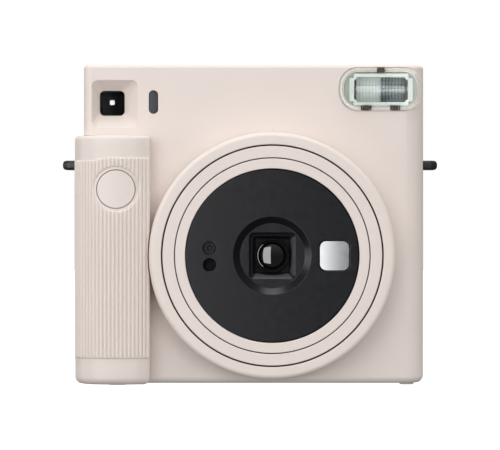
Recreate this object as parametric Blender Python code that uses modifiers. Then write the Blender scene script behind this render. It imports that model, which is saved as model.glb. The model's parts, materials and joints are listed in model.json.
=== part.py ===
"""Instant film camera for square pictures, as an assembly of separate parts.

The numbers are millimetres, and MM turns them into metres. The lens looks along -Y, +X is on the right of
someone who faces the lens, and +Z is up. The origin is the middle of the box round the whole camera, on the
surface that its feet stand on. The lens barrels are retracted and every door is shut.
"""

import math

import bmesh
import bpy
from mathutils import Vector

MM = 0.001
GAP = 0.3

# Housing
BODY_LEFT, BODY_RIGHT = -61.9, 64.9
BODY_BOTTOM, BODY_TOP = 0.8, 119.2
BODY_FRONT, BODY_REAR = -17.0, 25.5
SEAM = 4.0
WALL = 2.0
SOFT_EDGE = 8.0
REAR_EDGE = 6.0
EDGE_ROUND = 1.2

# Grip column on the front left
GRIP_LEFT, GRIP_RIGHT, GRIP_FRONT = -65.1, -36.9, -27.5
GRIP_TOP = 92.8
GRIP_BACK_EDGE = -38.9
GRIP_PLAN = (
    (GRIP_BACK_EDGE, SEAM, 0),
    (GRIP_BACK_EDGE, BODY_FRONT - GAP, 0),
    (GRIP_RIGHT, BODY_FRONT - GAP, 0),
    (GRIP_RIGHT, -24.6, 1.5),
    (-41.6, GRIP_FRONT, 4.0),
    (-57.0, GRIP_FRONT, 4.0),
    (-62.8, -22.6, 4.0),
    (GRIP_LEFT, -18.0, 5.0),
    (GRIP_LEFT, SEAM, 0),
)
GRIP_HOLLOW = (
    (GRIP_RIGHT + 3, SEAM + 2, 0),
    (GRIP_RIGHT + 3, -15.0, 0),
    (-39.2, -15.0, 0),
    (-39.2, -23.6, 1.0),
    (-40.8, -25.5, 0.8),
    (-57.2, -25.5, 1.0),
    (-61.2, -21.5, 2.0),
    (-63.1, -17.4, 3.0),
    (-63.1, 2.4, 0),
    (-60.1, 2.4, 0),
    (-60.1, SEAM + 2, 0),
)

# Lens group, round one axis
LENS_X, LENS_Z = 8.2, 48.4
LENS_FRONT = -28.75
DIAL_RADIUS, DIAL_BORE = 45.5, 40.75
DIAL_COLLAR, DIAL_COLLAR_BORE = 43.8, 42.7
DIAL_HOLE = 44.1
GUIDE_RADIUS, GUIDE_BORE, GUIDE_FLANGE = 42.4, 40.8, 45.2
OUTER_BARREL_RADIUS, OUTER_BARREL_LIP = 40.3, 36.15
INNER_BARREL_RADIUS, INNER_BARREL_LIP = 35.8, 32.1
BARREL_WALL = 1.6
LENS_PLATE_RADIUS = 31.8
LENS_PLATE_FRONT = -28.5
CONE_OUTER, CONE_INNER, CONE_DEPTH = 14.4, 12.0, 1.8
SQUARE_OUTER, SQUARE_INNER = 16.4, 13.0
LENS_RADIUS = 5.6
MIRROR_X, MIRROR_SIDE, MIRROR_ROUND = 22.9, 10.65, 2.3
SENSOR_X, SENSOR_UPPER_Z, SENSOR_LOWER_Z, SENSOR_RADIUS = -23.0, 2.8, -3.4, 2.5
RING_STEPS = 48

# Shutter button, viewfinder, receiver window and flash on the front
BUTTON_X, BUTTON_Z, BUTTON_RADIUS = -49.4, 72.9, 7.0
FINDER_X, FINDER_Z = -51.2, 104.9
FINDER_MOUTH, FINDER_THROAT, FINDER_DEPTH = 17.2, 9.3, 4.6
FINDER_TUBE, FINDER_TUBE_BORE = 12.6, 10.2
RECEIVER_X, RECEIVER_Z, RECEIVER_WIDTH, RECEIVER_HEIGHT = -35.9, 105.4, 3.4, 8.7
FLASH_X, FLASH_Z, FLASH_WIDTH, FLASH_HEIGHT, FLASH_ROUND = 48.7, 110.3, 31.1, 16.4, 6.0
FLASH_FRONT = -18.0

# Strap lugs
LUG_TIP, LUG_Z, LUG_HEIGHT, LUG_FRONT, LUG_BACK = 70.3, 82.1, 3.5, -10.0, -1.0

# Batteries, side by side with the grip's inner wall
BATTERY_X, BATTERY_Y, BATTERY_RADIUS, BATTERY_LENGTH = -52.9, -8.2, 7.8, 27.0
BATTERY_BOTTOM = 13.2
BATTERY_DOOR_LOW, BATTERY_DOOR_HIGH = (-65.1, -16.3, 9.3), (-63.4, 1.0, 70.7)

# Film chamber and gate
CHAMBER_LOW, CHAMBER_HIGH = (-34.5, 8.0, 5.2), (50.5, 23.2, 105.5)
CHAMBER_WALL = 2.0
GATE_SIDE = 63.0
FILM_PLANE = 13.0

# Rollers and their gears, which turn about axes along X
ROLLER_Z, ROLLER_RADIUS, ROLLER_OFFSET = 110.5, 4.0, 4.2
ROLLER_LEFT, ROLLER_RIGHT = -31.0, 47.0
SHAFT_RADIUS = 1.5
GEAR_MODULE = 0.65
DRIVE_TEETH, IDLER_TEETH, PINION_TEETH = 16, 18, 10
GEAR_LOW, GEAR_HIGH = -41.0, -38.0
IDLER_DIRECTION = math.radians(203)

# Back door, hinged on its right
DOOR_LOW, DOOR_HIGH = (-35.5, 25.8, 4.5), (57.1, 28.0, 110.5)
DOOR_HINGE_X, DOOR_HINGE_Y = 59.0, 27.1
KNUCKLE_RADIUS, PIN_RADIUS = 1.3, 0.6
DOOR_WINDOW_X, DOOR_WINDOW_Z, DOOR_WINDOW_WIDTH, DOOR_WINDOW_HEIGHT = 8.1, 66.0, 14.0, 22.0

# Film exit in the top, and the frame counter in the back
EXIT_LEFT, EXIT_RIGHT, EXIT_WIDTH = -30.0, 46.0, 3.6
COUNTER_X, COUNTER_Z, COUNTER_RADIUS, COUNTER_WINDOW_Z = -50.0, 72.0, 8.6, 77.2

# Screws in the back, at (x, z)
SCREW_PLACES = ((-56.0, 8.0), (-56.0, 90.0), (62.0, 20.0), (62.0, 100.0))

TURN_FACING = {
    "X": (math.pi / 2, 0, math.pi / 2),
    "Y": (math.pi / 2, 0, 0),
    "Z": (0, 0, 0),
}

# Finish: colour, roughness, metallic
BODY = ((0.74, 0.67, 0.62), 0.55, 0.0)
BLACK = ((0.035, 0.036, 0.04), 0.45, 0.0)
DARK = ((0.02, 0.02, 0.022), 0.6, 0.0)
GLASS = ((0.5, 0.55, 0.6), 0.05, 0.0)
CLEAR = ((0.8, 0.82, 0.84), 0.08, 0.0)
MIRROR = ((0.8, 0.82, 0.85), 0.05, 1.0)
STEEL = ((0.55, 0.55, 0.56), 0.35, 1.0)
BRASS = ((0.65, 0.5, 0.22), 0.35, 1.0)
NYLON = ((0.75, 0.74, 0.7), 0.5, 0.0)
BOARD = ((0.03, 0.16, 0.07), 0.5, 0.0)
RUBBER = ((0.03, 0.03, 0.03), 0.8, 0.0)


def clear_scene():
    for old in list(bpy.data.objects):
        bpy.data.objects.remove(old, do_unlink=True)


def new_collection(name):
    made = bpy.data.collections.new(name)
    bpy.context.scene.collection.children.link(made)
    return made


clear_scene()
CAMERA = new_collection("instant_camera")
CUTTERS = new_collection("cutters")


def part(obj, finish):
    """Puts the object in the camera, with a material of its own."""
    colour, roughness, metallic = finish
    material = bpy.data.materials.new(obj.name)
    material.use_nodes = True
    shader = material.node_tree.nodes["Principled BSDF"]
    shader.inputs["Base Color"].default_value = (*colour, 1.0)
    shader.inputs["Roughness"].default_value = roughness
    shader.inputs["Metallic"].default_value = metallic
    obj.data.materials.append(material)
    CAMERA.objects.link(obj)
    return obj


def combine(obj, tool, operation):
    CUTTERS.objects.link(tool)
    tool.hide_render = True
    tool.display_type = "WIRE"
    boolean = obj.modifiers.new(tool.name, "BOOLEAN")
    boolean.operation = operation
    boolean.object = tool


def cut(obj, *tools):
    for tool in tools:
        combine(obj, tool, "DIFFERENCE")


def join(obj, *tools):
    for tool in tools:
        combine(obj, tool, "UNION")


def object_of(name, shape, location, facing="Z"):
    mesh = bpy.data.meshes.new(name)
    shape.to_mesh(mesh)
    shape.free()
    obj = bpy.data.objects.new(name, mesh)
    obj.location = Vector(location) * MM
    obj.rotation_euler = TURN_FACING[facing]
    return obj


def round_edges(obj, radius, segments=2):
    bevel = obj.modifiers.new("rounding", "BEVEL")
    bevel.width = radius * MM
    bevel.segments = segments
    bevel.limit_method = "ANGLE"
    bevel.angle_limit = math.radians(40)


def box(name, low, high, rounding=0.0, pivot=None):
    """A box between two corners, whose origin is its middle or the pivot."""
    low, high = Vector(low), Vector(high)
    middle = (low + high) / 2
    origin = Vector(pivot) if pivot else middle
    shape = bmesh.new()
    bmesh.ops.create_cube(shape, size=1.0)
    bmesh.ops.scale(shape, vec=(high - low) * MM, verts=shape.verts)
    bmesh.ops.translate(shape, vec=(middle - origin) * MM, verts=shape.verts)
    obj = object_of(name, shape, origin)
    if rounding:
        round_edges(obj, rounding)
    return obj


def centred_box(name, x, z, width, height, front, back, rounding=0.0):
    low = (x - width / 2, front, z - height / 2)
    high = (x + width / 2, back, z + height / 2)
    return box(name, low, high, rounding)


def rod(name, middle, radius, length, facing, segments=24, far_radius=None):
    """A cylinder, or a cone that ends in far_radius on the side its facing looks to."""
    shape = bmesh.new()
    bmesh.ops.create_cone(
        shape,
        cap_ends=True,
        segments=segments,
        radius1=radius * MM,
        radius2=(radius if far_radius is None else far_radius) * MM,
        depth=length * MM,
    )
    return object_of(name, shape, middle, facing)


def turned(name, profile, x, z, steps=RING_STEPS, ring=True):
    """A shape turned about an axis along Y, from points (radius, y) that run down its outer side."""
    shape = bmesh.new()
    verts = [shape.verts.new((radius * MM, 0, -y * MM)) for radius, y in profile]
    ends = verts[1:] + verts[:1] if ring else verts[1:]
    for start, end in zip(verts, ends):
        shape.edges.new((start, end))
    obj = object_of(name, shape, (x, 0, z), "Y")
    screw = obj.modifiers.new("turn", "SCREW")
    screw.steps = screw.render_steps = steps
    screw.use_merge_vertices = True
    screw.merge_threshold = 0.00001
    screw.use_smooth_shade = True
    return obj


def arc(centre, radius, start, end, steps):
    turns = (start + (end - start) * step / steps for step in range(steps + 1))
    return [(centre[0] + radius * math.cos(a), centre[1] + radius * math.sin(a)) for a in turns]


def circle(x, y, radius, steps=24):
    return arc((x, y), radius, 0, 2 * math.pi * (steps - 1) / steps, steps - 1)


def filleted(corners, steps=4):
    """An outline whose corners (x, y, radius) are rounded by arcs."""
    outline = []
    for index, (x, y, radius) in enumerate(corners):
        here = Vector((x, y))
        if not radius:
            outline.append((x, y))
            continue
        before = (Vector(corners[index - 1][:2]) - here).normalized()
        after = (Vector(corners[(index + 1) % len(corners)][:2]) - here).normalized()
        half = before.angle(after) / 2
        centre = here + (before + after).normalized() * radius / math.sin(half)
        start = math.atan2(*reversed(here + before * radius / math.tan(half) - centre))
        end = math.atan2(*reversed(here + after * radius / math.tan(half) - centre))
        turn = (end - start + math.pi) % (2 * math.pi) - math.pi
        outline += arc(centre, radius, start, start + turn, steps)
    return outline


def rounded_rectangle(x, y, width, height, radius, steps=4):
    left, right, low, high = x - width / 2, x + width / 2, y - height / 2, y + height / 2
    corners = ((left, low), (right, low), (right, high), (left, high))
    return filleted([(*corner, radius) for corner in corners], steps)


def prism(name, outlines, low, high, facing):
    """A flat outline, with any holes, drawn out between two places along its facing axis."""
    drawing = bpy.data.curves.new(name, "CURVE")
    drawing.dimensions = "2D"
    drawing.fill_mode = "BOTH"
    drawing.extrude = (high - low) / 2 * MM
    for outline in outlines:
        spline = drawing.splines.new("POLY")
        spline.points.add(len(outline) - 1)
        for point, (x, y) in zip(spline.points, outline):
            point.co = (x * MM, y * MM, 0, 1)
        spline.use_cyclic_u = True
    drawn = bpy.data.objects.new(name, drawing)
    CAMERA.objects.link(drawn)
    evaluated = drawn.evaluated_get(bpy.context.evaluated_depsgraph_get())
    mesh = bpy.data.meshes.new_from_object(evaluated)
    bpy.data.objects.remove(drawn)
    shape = bmesh.new()
    shape.from_mesh(mesh)
    bpy.data.meshes.remove(mesh)
    bmesh.ops.remove_doubles(shape, verts=shape.verts, dist=0.000001)
    middle = (low + high) / 2
    place = {"X": (middle, 0, 0), "Y": (0, middle, 0), "Z": (0, 0, middle)}[facing]
    return object_of(name, shape, place, facing)


def housing_half(name, plan, hollow_plan, trim_low, trim_high):
    """An upright shell from its outer and inner plans, trimmed at the seam."""
    shell = prism(name, [filleted(plan, 5)], BODY_BOTTOM, BODY_TOP, "Z")
    round_edges(shell, EDGE_ROUND)
    low, high = BODY_BOTTOM + WALL, BODY_TOP - WALL
    cut(shell, prism(name + "_hollow", [filleted(hollow_plan, 5)], low, high, "Z"))
    cut(shell, box(name + "_seam", (-99, trim_low, -9), (99, trim_high, 199)))
    return part(shell, BODY)


def receiver_outline(inset):
    width, height = RECEIVER_WIDTH - 2 * inset, RECEIVER_HEIGHT - 2 * inset
    return rounded_rectangle(RECEIVER_X, RECEIVER_Z, width, height, width / 2 - 0.01)


def foot(name, x, front, back, half_width=3.4):
    return box(name, (x - half_width, front, 0), (x + half_width, back, BODY_BOTTOM + 0.4))


def make_front_cover():
    inner_left, inner_right = BODY_LEFT + WALL, BODY_RIGHT - WALL
    cover = housing_half(
        "front_cover",
        (
            (BODY_LEFT, SEAM + 6, 0),
            (BODY_LEFT, BODY_FRONT, 2.5),
            (BODY_RIGHT, BODY_FRONT, SOFT_EDGE),
            (BODY_RIGHT, SEAM + 6, 0),
        ),
        (
            (inner_left, SEAM + 9, 0),
            (inner_left, BODY_FRONT + WALL, 0),
            (inner_right, BODY_FRONT + WALL, SOFT_EDGE - WALL),
            (inner_right, SEAM + 9, 0),
        ),
        SEAM,
        SEAM + 20,
    )
    cut(cover, box("grip_room", (-99, -30, -9), (GRIP_BACK_EDGE + GAP, 30, GRIP_TOP + GAP)))
    boss = FINDER_MOUTH + 2.4
    boss_back = BODY_FRONT + FINDER_DEPTH
    join(cover, centred_box("finder_boss", FINDER_X, FINDER_Z, boss, boss, -16, boss_back))
    join(cover, foot("front_foot", 58.7, -11, 2, 2.6))
    lens_hole = rod("dial_hole", (LENS_X, -16, LENS_Z), DIAL_HOLE, 9, "Y", RING_STEPS)
    funnel = rod(
        "finder_funnel",
        (FINDER_X, BODY_FRONT + FINDER_DEPTH / 2, FINDER_Z),
        (FINDER_THROAT - 0.1) / math.sqrt(2),
        FINDER_DEPTH + 0.1,
        "Y",
        4,
        (FINDER_MOUTH + 0.1) / math.sqrt(2),
    )
    funnel.rotation_euler = (math.pi / 2, math.pi / 4, 0)
    slot = receiver_outline(0)
    flash = rounded_rectangle(FLASH_X, FLASH_Z, FLASH_WIDTH, FLASH_HEIGHT, FLASH_ROUND)
    cut(cover, lens_hole, funnel, prism("receiver_hole", [slot], -19, -12, "Y"))
    cut(cover, prism("flash_hole", [flash], -19, -8, "Y"), lug_slot("right_lug_slot", 1))


def make_rear_cover():
    inner_left, inner_right = BODY_LEFT + WALL, BODY_RIGHT - WALL
    cover = housing_half(
        "rear_cover",
        (
            (BODY_RIGHT, SEAM - 6, 0),
            (BODY_RIGHT, BODY_REAR, REAR_EDGE),
            (BODY_LEFT, BODY_REAR, REAR_EDGE),
            (BODY_LEFT, SEAM - 6, 0),
        ),
        (
            (inner_right, SEAM - 9, 0),
            (inner_right, BODY_REAR - WALL, REAR_EDGE - WALL),
            (inner_left, BODY_REAR - WALL, REAR_EDGE - WALL),
            (inner_left, SEAM - 9, 0),
        ),
        SEAM - 20,
        SEAM + GAP,
    )
    cut(cover, box("door_opening", (-33.5, 20, 6.3), (49.5, 30, 106.0)))
    cut(cover, centred_box("eyepiece_hole", FINDER_X, FINDER_Z, 13.4, 13.4, 20, 30))
    cut(cover, rod("counter_hole", (COUNTER_X, 25, COUNTER_WINDOW_Z), 3.3, 9, "Y"))
    film = (FILM_PLANE - EXIT_WIDTH / 2, FILM_PLANE + EXIT_WIDTH / 2)
    cut(cover, box("film_exit", (EXIT_LEFT, film[0], 110), (EXIT_RIGHT, film[1], 130)))
    for name, low, high in (("lower_ear", 4.5, 9.7), ("upper_ear", 105.3, 110.5)):
        left, right = DOOR_HINGE_X - 1.2, DOOR_HINGE_X + 1.3
        join(cover, box(name, (left, BODY_REAR - 1, low), (right, 28.3, high)))
    cut(cover, rod("pin_bore", (DOOR_HINGE_X, DOOR_HINGE_Y, 57.5), 0.9, 103.6, "Z", 16))
    for index, (x, z) in enumerate(SCREW_PLACES):
        cut(cover, rod(f"screw_seat_{index}", (x, BODY_REAR, z), 2.2, 2.4, "Y", 16))
    join(cover, foot("rear_foot_left", -49.5, 9, 19), foot("rear_foot_right", 57, 9, 19))


def lug_slot(name, side):
    height = LUG_HEIGHT / 2 + GAP
    ends = sorted((side * 58.0, side * 67.0))
    low = (ends[0], LUG_FRONT - GAP, LUG_Z - height)
    return box(name, low, (ends[1], LUG_BACK + GAP, LUG_Z + height))


def make_strap_lug(name, side):
    middle, length = side * (LUG_TIP - 4.9), 9.8
    depth = (LUG_FRONT + LUG_BACK) / 2
    outline = rounded_rectangle(middle, depth, length, LUG_BACK - LUG_FRONT, 2.6)
    hole = rounded_rectangle(side * (LUG_TIP - 3.3), depth, 3.2, 5.6, 1.0)
    low = LUG_Z - LUG_HEIGHT / 2
    lug = prism(name, [outline, hole], low, low + LUG_HEIGHT, "Z")
    part(lug, RUBBER)


def make_grip():
    grip = prism("grip_cover", [filleted(GRIP_PLAN)], BODY_BOTTOM, GRIP_TOP, "Z")
    round_edges(grip, EDGE_ROUND)
    hollow_top = GRIP_TOP - WALL
    cut(grip, prism("grip_hollow", [filleted(GRIP_HOLLOW)], BODY_BOTTOM + WALL, hollow_top, "Z"))
    cut(grip, rod("button_hole", (BUTTON_X, -26, BUTTON_Z), BUTTON_RADIUS + GAP, 6, "Y", 32))
    low, high = Vector(BATTERY_DOOR_LOW), Vector(BATTERY_DOOR_HIGH)
    cut(grip, box("battery_way", low - Vector((2, GAP, GAP)), high + Vector((2, 0.8, GAP))))
    cut(grip, lug_slot("left_lug_slot", -1))
    dial_room = rod("dial_room", (LENS_X, -22, LENS_Z), DIAL_RADIUS + 0.5, 20, "Y", 2 * RING_STEPS)
    cut(grip, dial_room)
    join(grip, foot("grip_foot", -49.5, -14, 1))
    part(grip, BODY)
    pivot = ((low.x + high.x) / 2, high.y - GAP, (low.z + high.z) / 2)
    part(box("battery_cover", low, high, pivot=pivot), BODY)


def make_button():
    back = GRIP_FRONT + WALL + GAP
    profile = (
        (0, GRIP_FRONT),
        (BUTTON_RADIUS, GRIP_FRONT),
        (BUTTON_RADIUS, back),
        (BUTTON_RADIUS + 0.8, back),
        (BUTTON_RADIUS + 0.8, back + 0.8),
        (2.0, back + 0.8),
        (2.0, -22.2),
        (0, -22.2),
    )
    part(turned("shutter_button", profile, BUTTON_X, BUTTON_Z, 32, ring=False), BODY)
    part(centred_box("shutter_switch", BUTTON_X, 73.0, 6, 4.8, -20.6, -15), DARK)


def make_dial_and_barrels():
    back = BODY_FRONT - 0.4
    dial = (
        (DIAL_BORE, LENS_FRONT),
        (DIAL_RADIUS - 1.2, LENS_FRONT),
        (DIAL_RADIUS, LENS_FRONT + 1.2),
        (DIAL_RADIUS, back),
        (DIAL_COLLAR, back),
        (DIAL_COLLAR, -11.0),
        (DIAL_COLLAR_BORE, -11.0),
        (DIAL_COLLAR_BORE, -25.8),
        (DIAL_BORE, -25.8),
    )
    part(turned("lens_dial", dial, LENS_X, LENS_Z), BODY)
    guide = (
        (GUIDE_BORE, -25.3),
        (GUIDE_RADIUS, -25.3),
        (GUIDE_RADIUS, -1.0),
        (GUIDE_FLANGE, -1.0),
        (GUIDE_FLANGE, 1.0),
        (GUIDE_BORE, 1.0),
    )
    part(turned("barrel_guide", guide, LENS_X, LENS_Z), BLACK)
    outer_wall = OUTER_BARREL_RADIUS - BARREL_WALL
    outer = (
        (OUTER_BARREL_LIP, LENS_FRONT),
        (OUTER_BARREL_RADIUS, LENS_FRONT),
        (OUTER_BARREL_RADIUS, -1.0),
        (outer_wall, -1.0),
        (outer_wall, -26.2),
        (OUTER_BARREL_LIP, -26.2),
    )
    part(turned("outer_barrel", outer, LENS_X, LENS_Z), BODY)
    inner_wall = INNER_BARREL_RADIUS - BARREL_WALL
    inner = (
        (INNER_BARREL_LIP, LENS_FRONT),
        (INNER_BARREL_RADIUS, LENS_FRONT),
        (INNER_BARREL_RADIUS, -1.5),
        (inner_wall, -1.5),
        (inner_wall, -20.5),
        (8.0, -20.5),
        (8.0, -22.0),
        (INNER_BARREL_LIP, -22.0),
    )
    part(turned("inner_barrel", inner, LENS_X, LENS_Z), BODY)


def make_lens_plate():
    floor = LENS_PLATE_FRONT + CONE_DEPTH
    profile = (
        (CONE_OUTER, LENS_PLATE_FRONT),
        (LENS_PLATE_RADIUS, LENS_PLATE_FRONT),
        (LENS_PLATE_RADIUS, -26.0),
        (16.0, -26.0),
        (16.0, -22.4),
        (0, -22.4),
        (0, floor),
        (CONE_INNER, floor),
    )
    plate = turned("lens_plate", profile, LENS_X, LENS_Z)
    square = rod(
        "lens_square",
        (LENS_X, floor + 1.0, LENS_Z),
        SQUARE_INNER / math.sqrt(2),
        2.2,
        "Y",
        4,
        SQUARE_OUTER / math.sqrt(2),
    )
    square.rotation_euler = (math.pi / 2, math.pi / 4, 0)
    throat = centred_box("lens_throat", LENS_X, LENS_Z, SQUARE_INNER, SQUARE_INNER, -28, -20)
    recess = rounded_rectangle(LENS_X + MIRROR_X, LENS_Z, MIRROR_SIDE + 0.7, MIRROR_SIDE + 0.7, 2.6)
    cut(plate, square, throat, prism("mirror_recess", [recess], -30, -27.2, "Y"))
    x = LENS_X + SENSOR_X
    for name, offset in (("light_sensor", SENSOR_UPPER_Z), ("distance_sensor", SENSOR_LOWER_Z)):
        z = LENS_Z + offset
        cut(plate, rod(name + "_hole", (x, -27, z), SENSOR_RADIUS, 8, "Y", 20))
        part(rod(name + "_window", (x, -27.1, z), SENSOR_RADIUS - GAP, 1.8, "Y", 20), DARK)
    part(plate, BLACK)
    mirror = rounded_rectangle(LENS_X + MIRROR_X, LENS_Z, MIRROR_SIDE, MIRROR_SIDE, MIRROR_ROUND)
    part(prism("selfie_mirror", [mirror], -28.5, -27.5, "Y"), MIRROR)


def lens_profile(radius, front, back, crown):
    """A lens whose two faces bulge by the crown."""
    turns = [step * math.pi / 8 for step in range(5)]
    face = [(radius * math.sin(turn), crown * (1 - math.cos(turn))) for turn in turns]
    return [(r, front + drop) for r, drop in face] + [(r, back - drop) for r, drop in reversed(face)]


def make_lens_and_shutter():
    side = SQUARE_INNER - 2 * GAP
    mount = centred_box("lens_mount", LENS_X, LENS_Z, side, side, -25.0, -22.4)
    cut(mount, rod("lens_seat", (LENS_X, -24, LENS_Z), LENS_RADIUS + GAP, 9, "Y", 32))
    part(mount, DARK)
    front = lens_profile(LENS_RADIUS, -25.7, -22.9, 0.9)
    part(turned("front_lens", front, LENS_X, LENS_Z, 32, ring=False), GLASS)
    plate = ((4.5, -20.2), (22.0, -20.2), (22.0, -19.3), (4.5, -19.3))
    part(turned("shutter_plate", plate, LENS_X, LENS_Z, 32), DARK)
    blades = (("upper", -19.0, -0.4, 6.0), ("lower", -18.3, -6.0, 0.4))
    for name, y, low, high in blades:
        corner, far = (LENS_X - 6.0, y, LENS_Z + low), (LENS_X + 6.0, y + 0.4, LENS_Z + high)
        part(box("shutter_blade_" + name, corner, far), DARK)
    cell = (
        (6.0, -17.6),
        (22.0, -17.6),
        (22.0, -16.4),
        (8.4, -16.4),
        (8.4, -11.0),
        (6.9, -11.0),
        (6.9, -16.4),
        (6.0, -16.4),
    )
    part(turned("shutter_cover", cell, LENS_X, LENS_Z, 32), DARK)
    rear = lens_profile(6.6, -15.9, -12.6, 0.8)
    part(turned("rear_lens", rear, LENS_X, LENS_Z, 32, ring=False), GLASS)
    low = (LENS_X + 10, -16.1, LENS_Z - 6)
    part(box("shutter_solenoid", low, (LENS_X + 19, -8.0, LENS_Z + 6)), STEEL)


def make_film_chamber():
    low, high = Vector(CHAMBER_LOW), Vector(CHAMBER_HIGH)
    wall = Vector((CHAMBER_WALL, CHAMBER_WALL, CHAMBER_WALL))
    chamber = box("film_chamber", low, high)
    cut(chamber, box("pack_room", low + wall, (high.x - wall.x, high.y + 5, high.z - 1.5)))
    tunnel = GATE_SIDE + 2 * CHAMBER_WALL
    join(chamber, centred_box("light_tunnel", LENS_X, LENS_Z, tunnel, tunnel, 1.3, low.y + 1))
    cut(chamber, centred_box("gate", LENS_X, LENS_Z, GATE_SIDE, GATE_SIDE, -2, 15))
    cut(chamber, box("film_way", (EXIT_LEFT, 12, 100), (EXIT_RIGHT, 14, 120)))
    cut(chamber, box("claw_way", (-40, 11.7, 29.0), (-30, 13.8, 50.0)))
    part(chamber, BLACK)
    claw = box("film_claw", (-36.6, 11.5, 30.0), (-34.8, 14.5, 48.0))
    join(claw, box("claw_finger", (-35.5, 12.0, 30.6), (-32.9, 13.4, 33.0)))
    part(claw, STEEL)


def gear_outline(y, z, teeth, phase):
    """A spur gear's outline, with one tooth centred on the phase angle."""
    pitch = GEAR_MODULE * teeth / 2
    root, tip = pitch - 1.15 * GEAR_MODULE, pitch + 0.75 * GEAR_MODULE
    root_half, tip_half = 0.30 * 2 * math.pi / teeth, 0.11 * 2 * math.pi / teeth
    outline = []
    for tooth in range(teeth):
        middle = phase + 2 * math.pi * tooth / teeth
        corners = ((root, -root_half), (tip, -tip_half), (tip, tip_half), (root, root_half))
        for radius, turn in corners:
            angle = middle + turn
            outline.append((y + radius * math.cos(angle), z + radius * math.sin(angle)))
    return outline


def mesh_phase(phase, teeth, direction, next_teeth):
    """The phase of a gear that meshes with a gear of this phase, in the direction from one to the next."""
    past_tooth = (direction - phase) % (2 * math.pi / teeth)
    return direction + math.pi + past_tooth * teeth / next_teeth + math.pi / next_teeth


def make_gears():
    drive = (FILM_PLANE - ROLLER_OFFSET, ROLLER_Z)
    reach = GEAR_MODULE * (DRIVE_TEETH + IDLER_TEETH) / 2
    idler = (
        drive[0] + reach * math.cos(IDLER_DIRECTION),
        drive[1] + reach * math.sin(IDLER_DIRECTION),
    )
    pinion = (idler[0] - GEAR_MODULE * (IDLER_TEETH + PINION_TEETH) / 2, idler[1])
    drive_phase = IDLER_DIRECTION
    idler_phase = mesh_phase(drive_phase, DRIVE_TEETH, IDLER_DIRECTION, IDLER_TEETH)
    pinion_phase = mesh_phase(idler_phase, IDLER_TEETH, math.pi, PINION_TEETH)
    gears = (
        ("drive_gear", drive, DRIVE_TEETH, drive_phase, SHAFT_RADIUS + GAP),
        ("idler_gear", idler, IDLER_TEETH, idler_phase, 1.0),
        ("motor_pinion", pinion, PINION_TEETH, pinion_phase, 1.0),
    )
    for name, (y, z), teeth, phase, bore in gears:
        outlines = [gear_outline(y, z, teeth, phase), circle(y, z, bore, 16)]
        part(prism(name, outlines, GEAR_LOW, GEAR_HIGH, "X"), NYLON)
    motor = rod("eject_motor", (-25, *pinion), 4.0, 22.0, "X", 20)
    join(motor, rod("motor_shaft", (-38, *pinion), 0.7, 7.0, "X", 12))
    part(motor, STEEL)
    return idler


def make_rollers(idler):
    frame = box("roller_frame", (-36, 1, 106.2), (51, 23, 116.5))
    cut(frame, box("roller_room", (-34, 3, 100), (49, 30, 120)))
    join(frame, box("idler_tab", (-36, -4, 102), (-34, 3, 112)))
    join(frame, rod("idler_axle", (-38.2, *idler), 0.7, 7.0, "X", 12))
    for name, side, finish in (("drive_roller", -1, RUBBER), ("pinch_roller", 1, STEEL)):
        y = FILM_PLANE + side * ROLLER_OFFSET
        middle = (ROLLER_LEFT + ROLLER_RIGHT) / 2
        left = GEAR_LOW if side < 0 else -36.5
        length = ROLLER_RIGHT - ROLLER_LEFT
        roller = rod(name, (middle, y, ROLLER_Z), ROLLER_RADIUS, length, "X", 24)
        shaft = (left + 51.5) / 2
        join(roller, rod(name + "_shaft", (shaft, y, ROLLER_Z), SHAFT_RADIUS, 51.5 - left, "X", 16))
        cut(frame, rod(name + "_bores", (8, y, ROLLER_Z), SHAFT_RADIUS + GAP, 99, "X", 16))
        part(roller, finish)
    part(frame, STEEL)


def make_back_door():
    low, high = Vector(DOOR_LOW), Vector(DOOR_HIGH)
    pivot = (DOOR_HINGE_X, DOOR_HINGE_Y, (low.z + high.z) / 2)
    door = box("back_door", low, high, pivot=pivot)
    join(door, box("knuckle_web", (56.5, 25.9, 10.0), (59.0, 28.0, 105.0)))
    join(door, rod("knuckle", (DOOR_HINGE_X, DOOR_HINGE_Y, 57.5), KNUCKLE_RADIUS, 95, "Z", 20))
    cut(door, rod("knuckle_bore", (DOOR_HINGE_X, DOOR_HINGE_Y, 57.5), 0.9, 120, "Z", 16))
    x, z = DOOR_WINDOW_X, DOOR_WINDOW_Z
    cut(door, centred_box("window_way", x, z, DOOR_WINDOW_WIDTH, DOOR_WINDOW_HEIGHT, 20, 30))
    cut(door, box("latch_way", (-33.5, 26.6, 47.0), (-27.5, 30.0, 67.0)))
    part(door, BODY)
    width, height = DOOR_WINDOW_WIDTH - 2 * GAP, DOOR_WINDOW_HEIGHT - 2 * GAP
    part(centred_box("film_window", x, z, width, height, 26.2, 27.7), CLEAR)
    part(rod("door_hinge_pin", (DOOR_HINGE_X, DOOR_HINGE_Y, 57.5), PIN_RADIUS, 103, "Z", 12), STEEL)
    part(box("door_latch", (-33.0, 26.9, 51.5), (-28.0, 28.6, 66.5)), BODY)
    part(box("pack_pressure_plate", (-14, 24.2, 20), (30, 25.5, 50)), STEEL)


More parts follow.
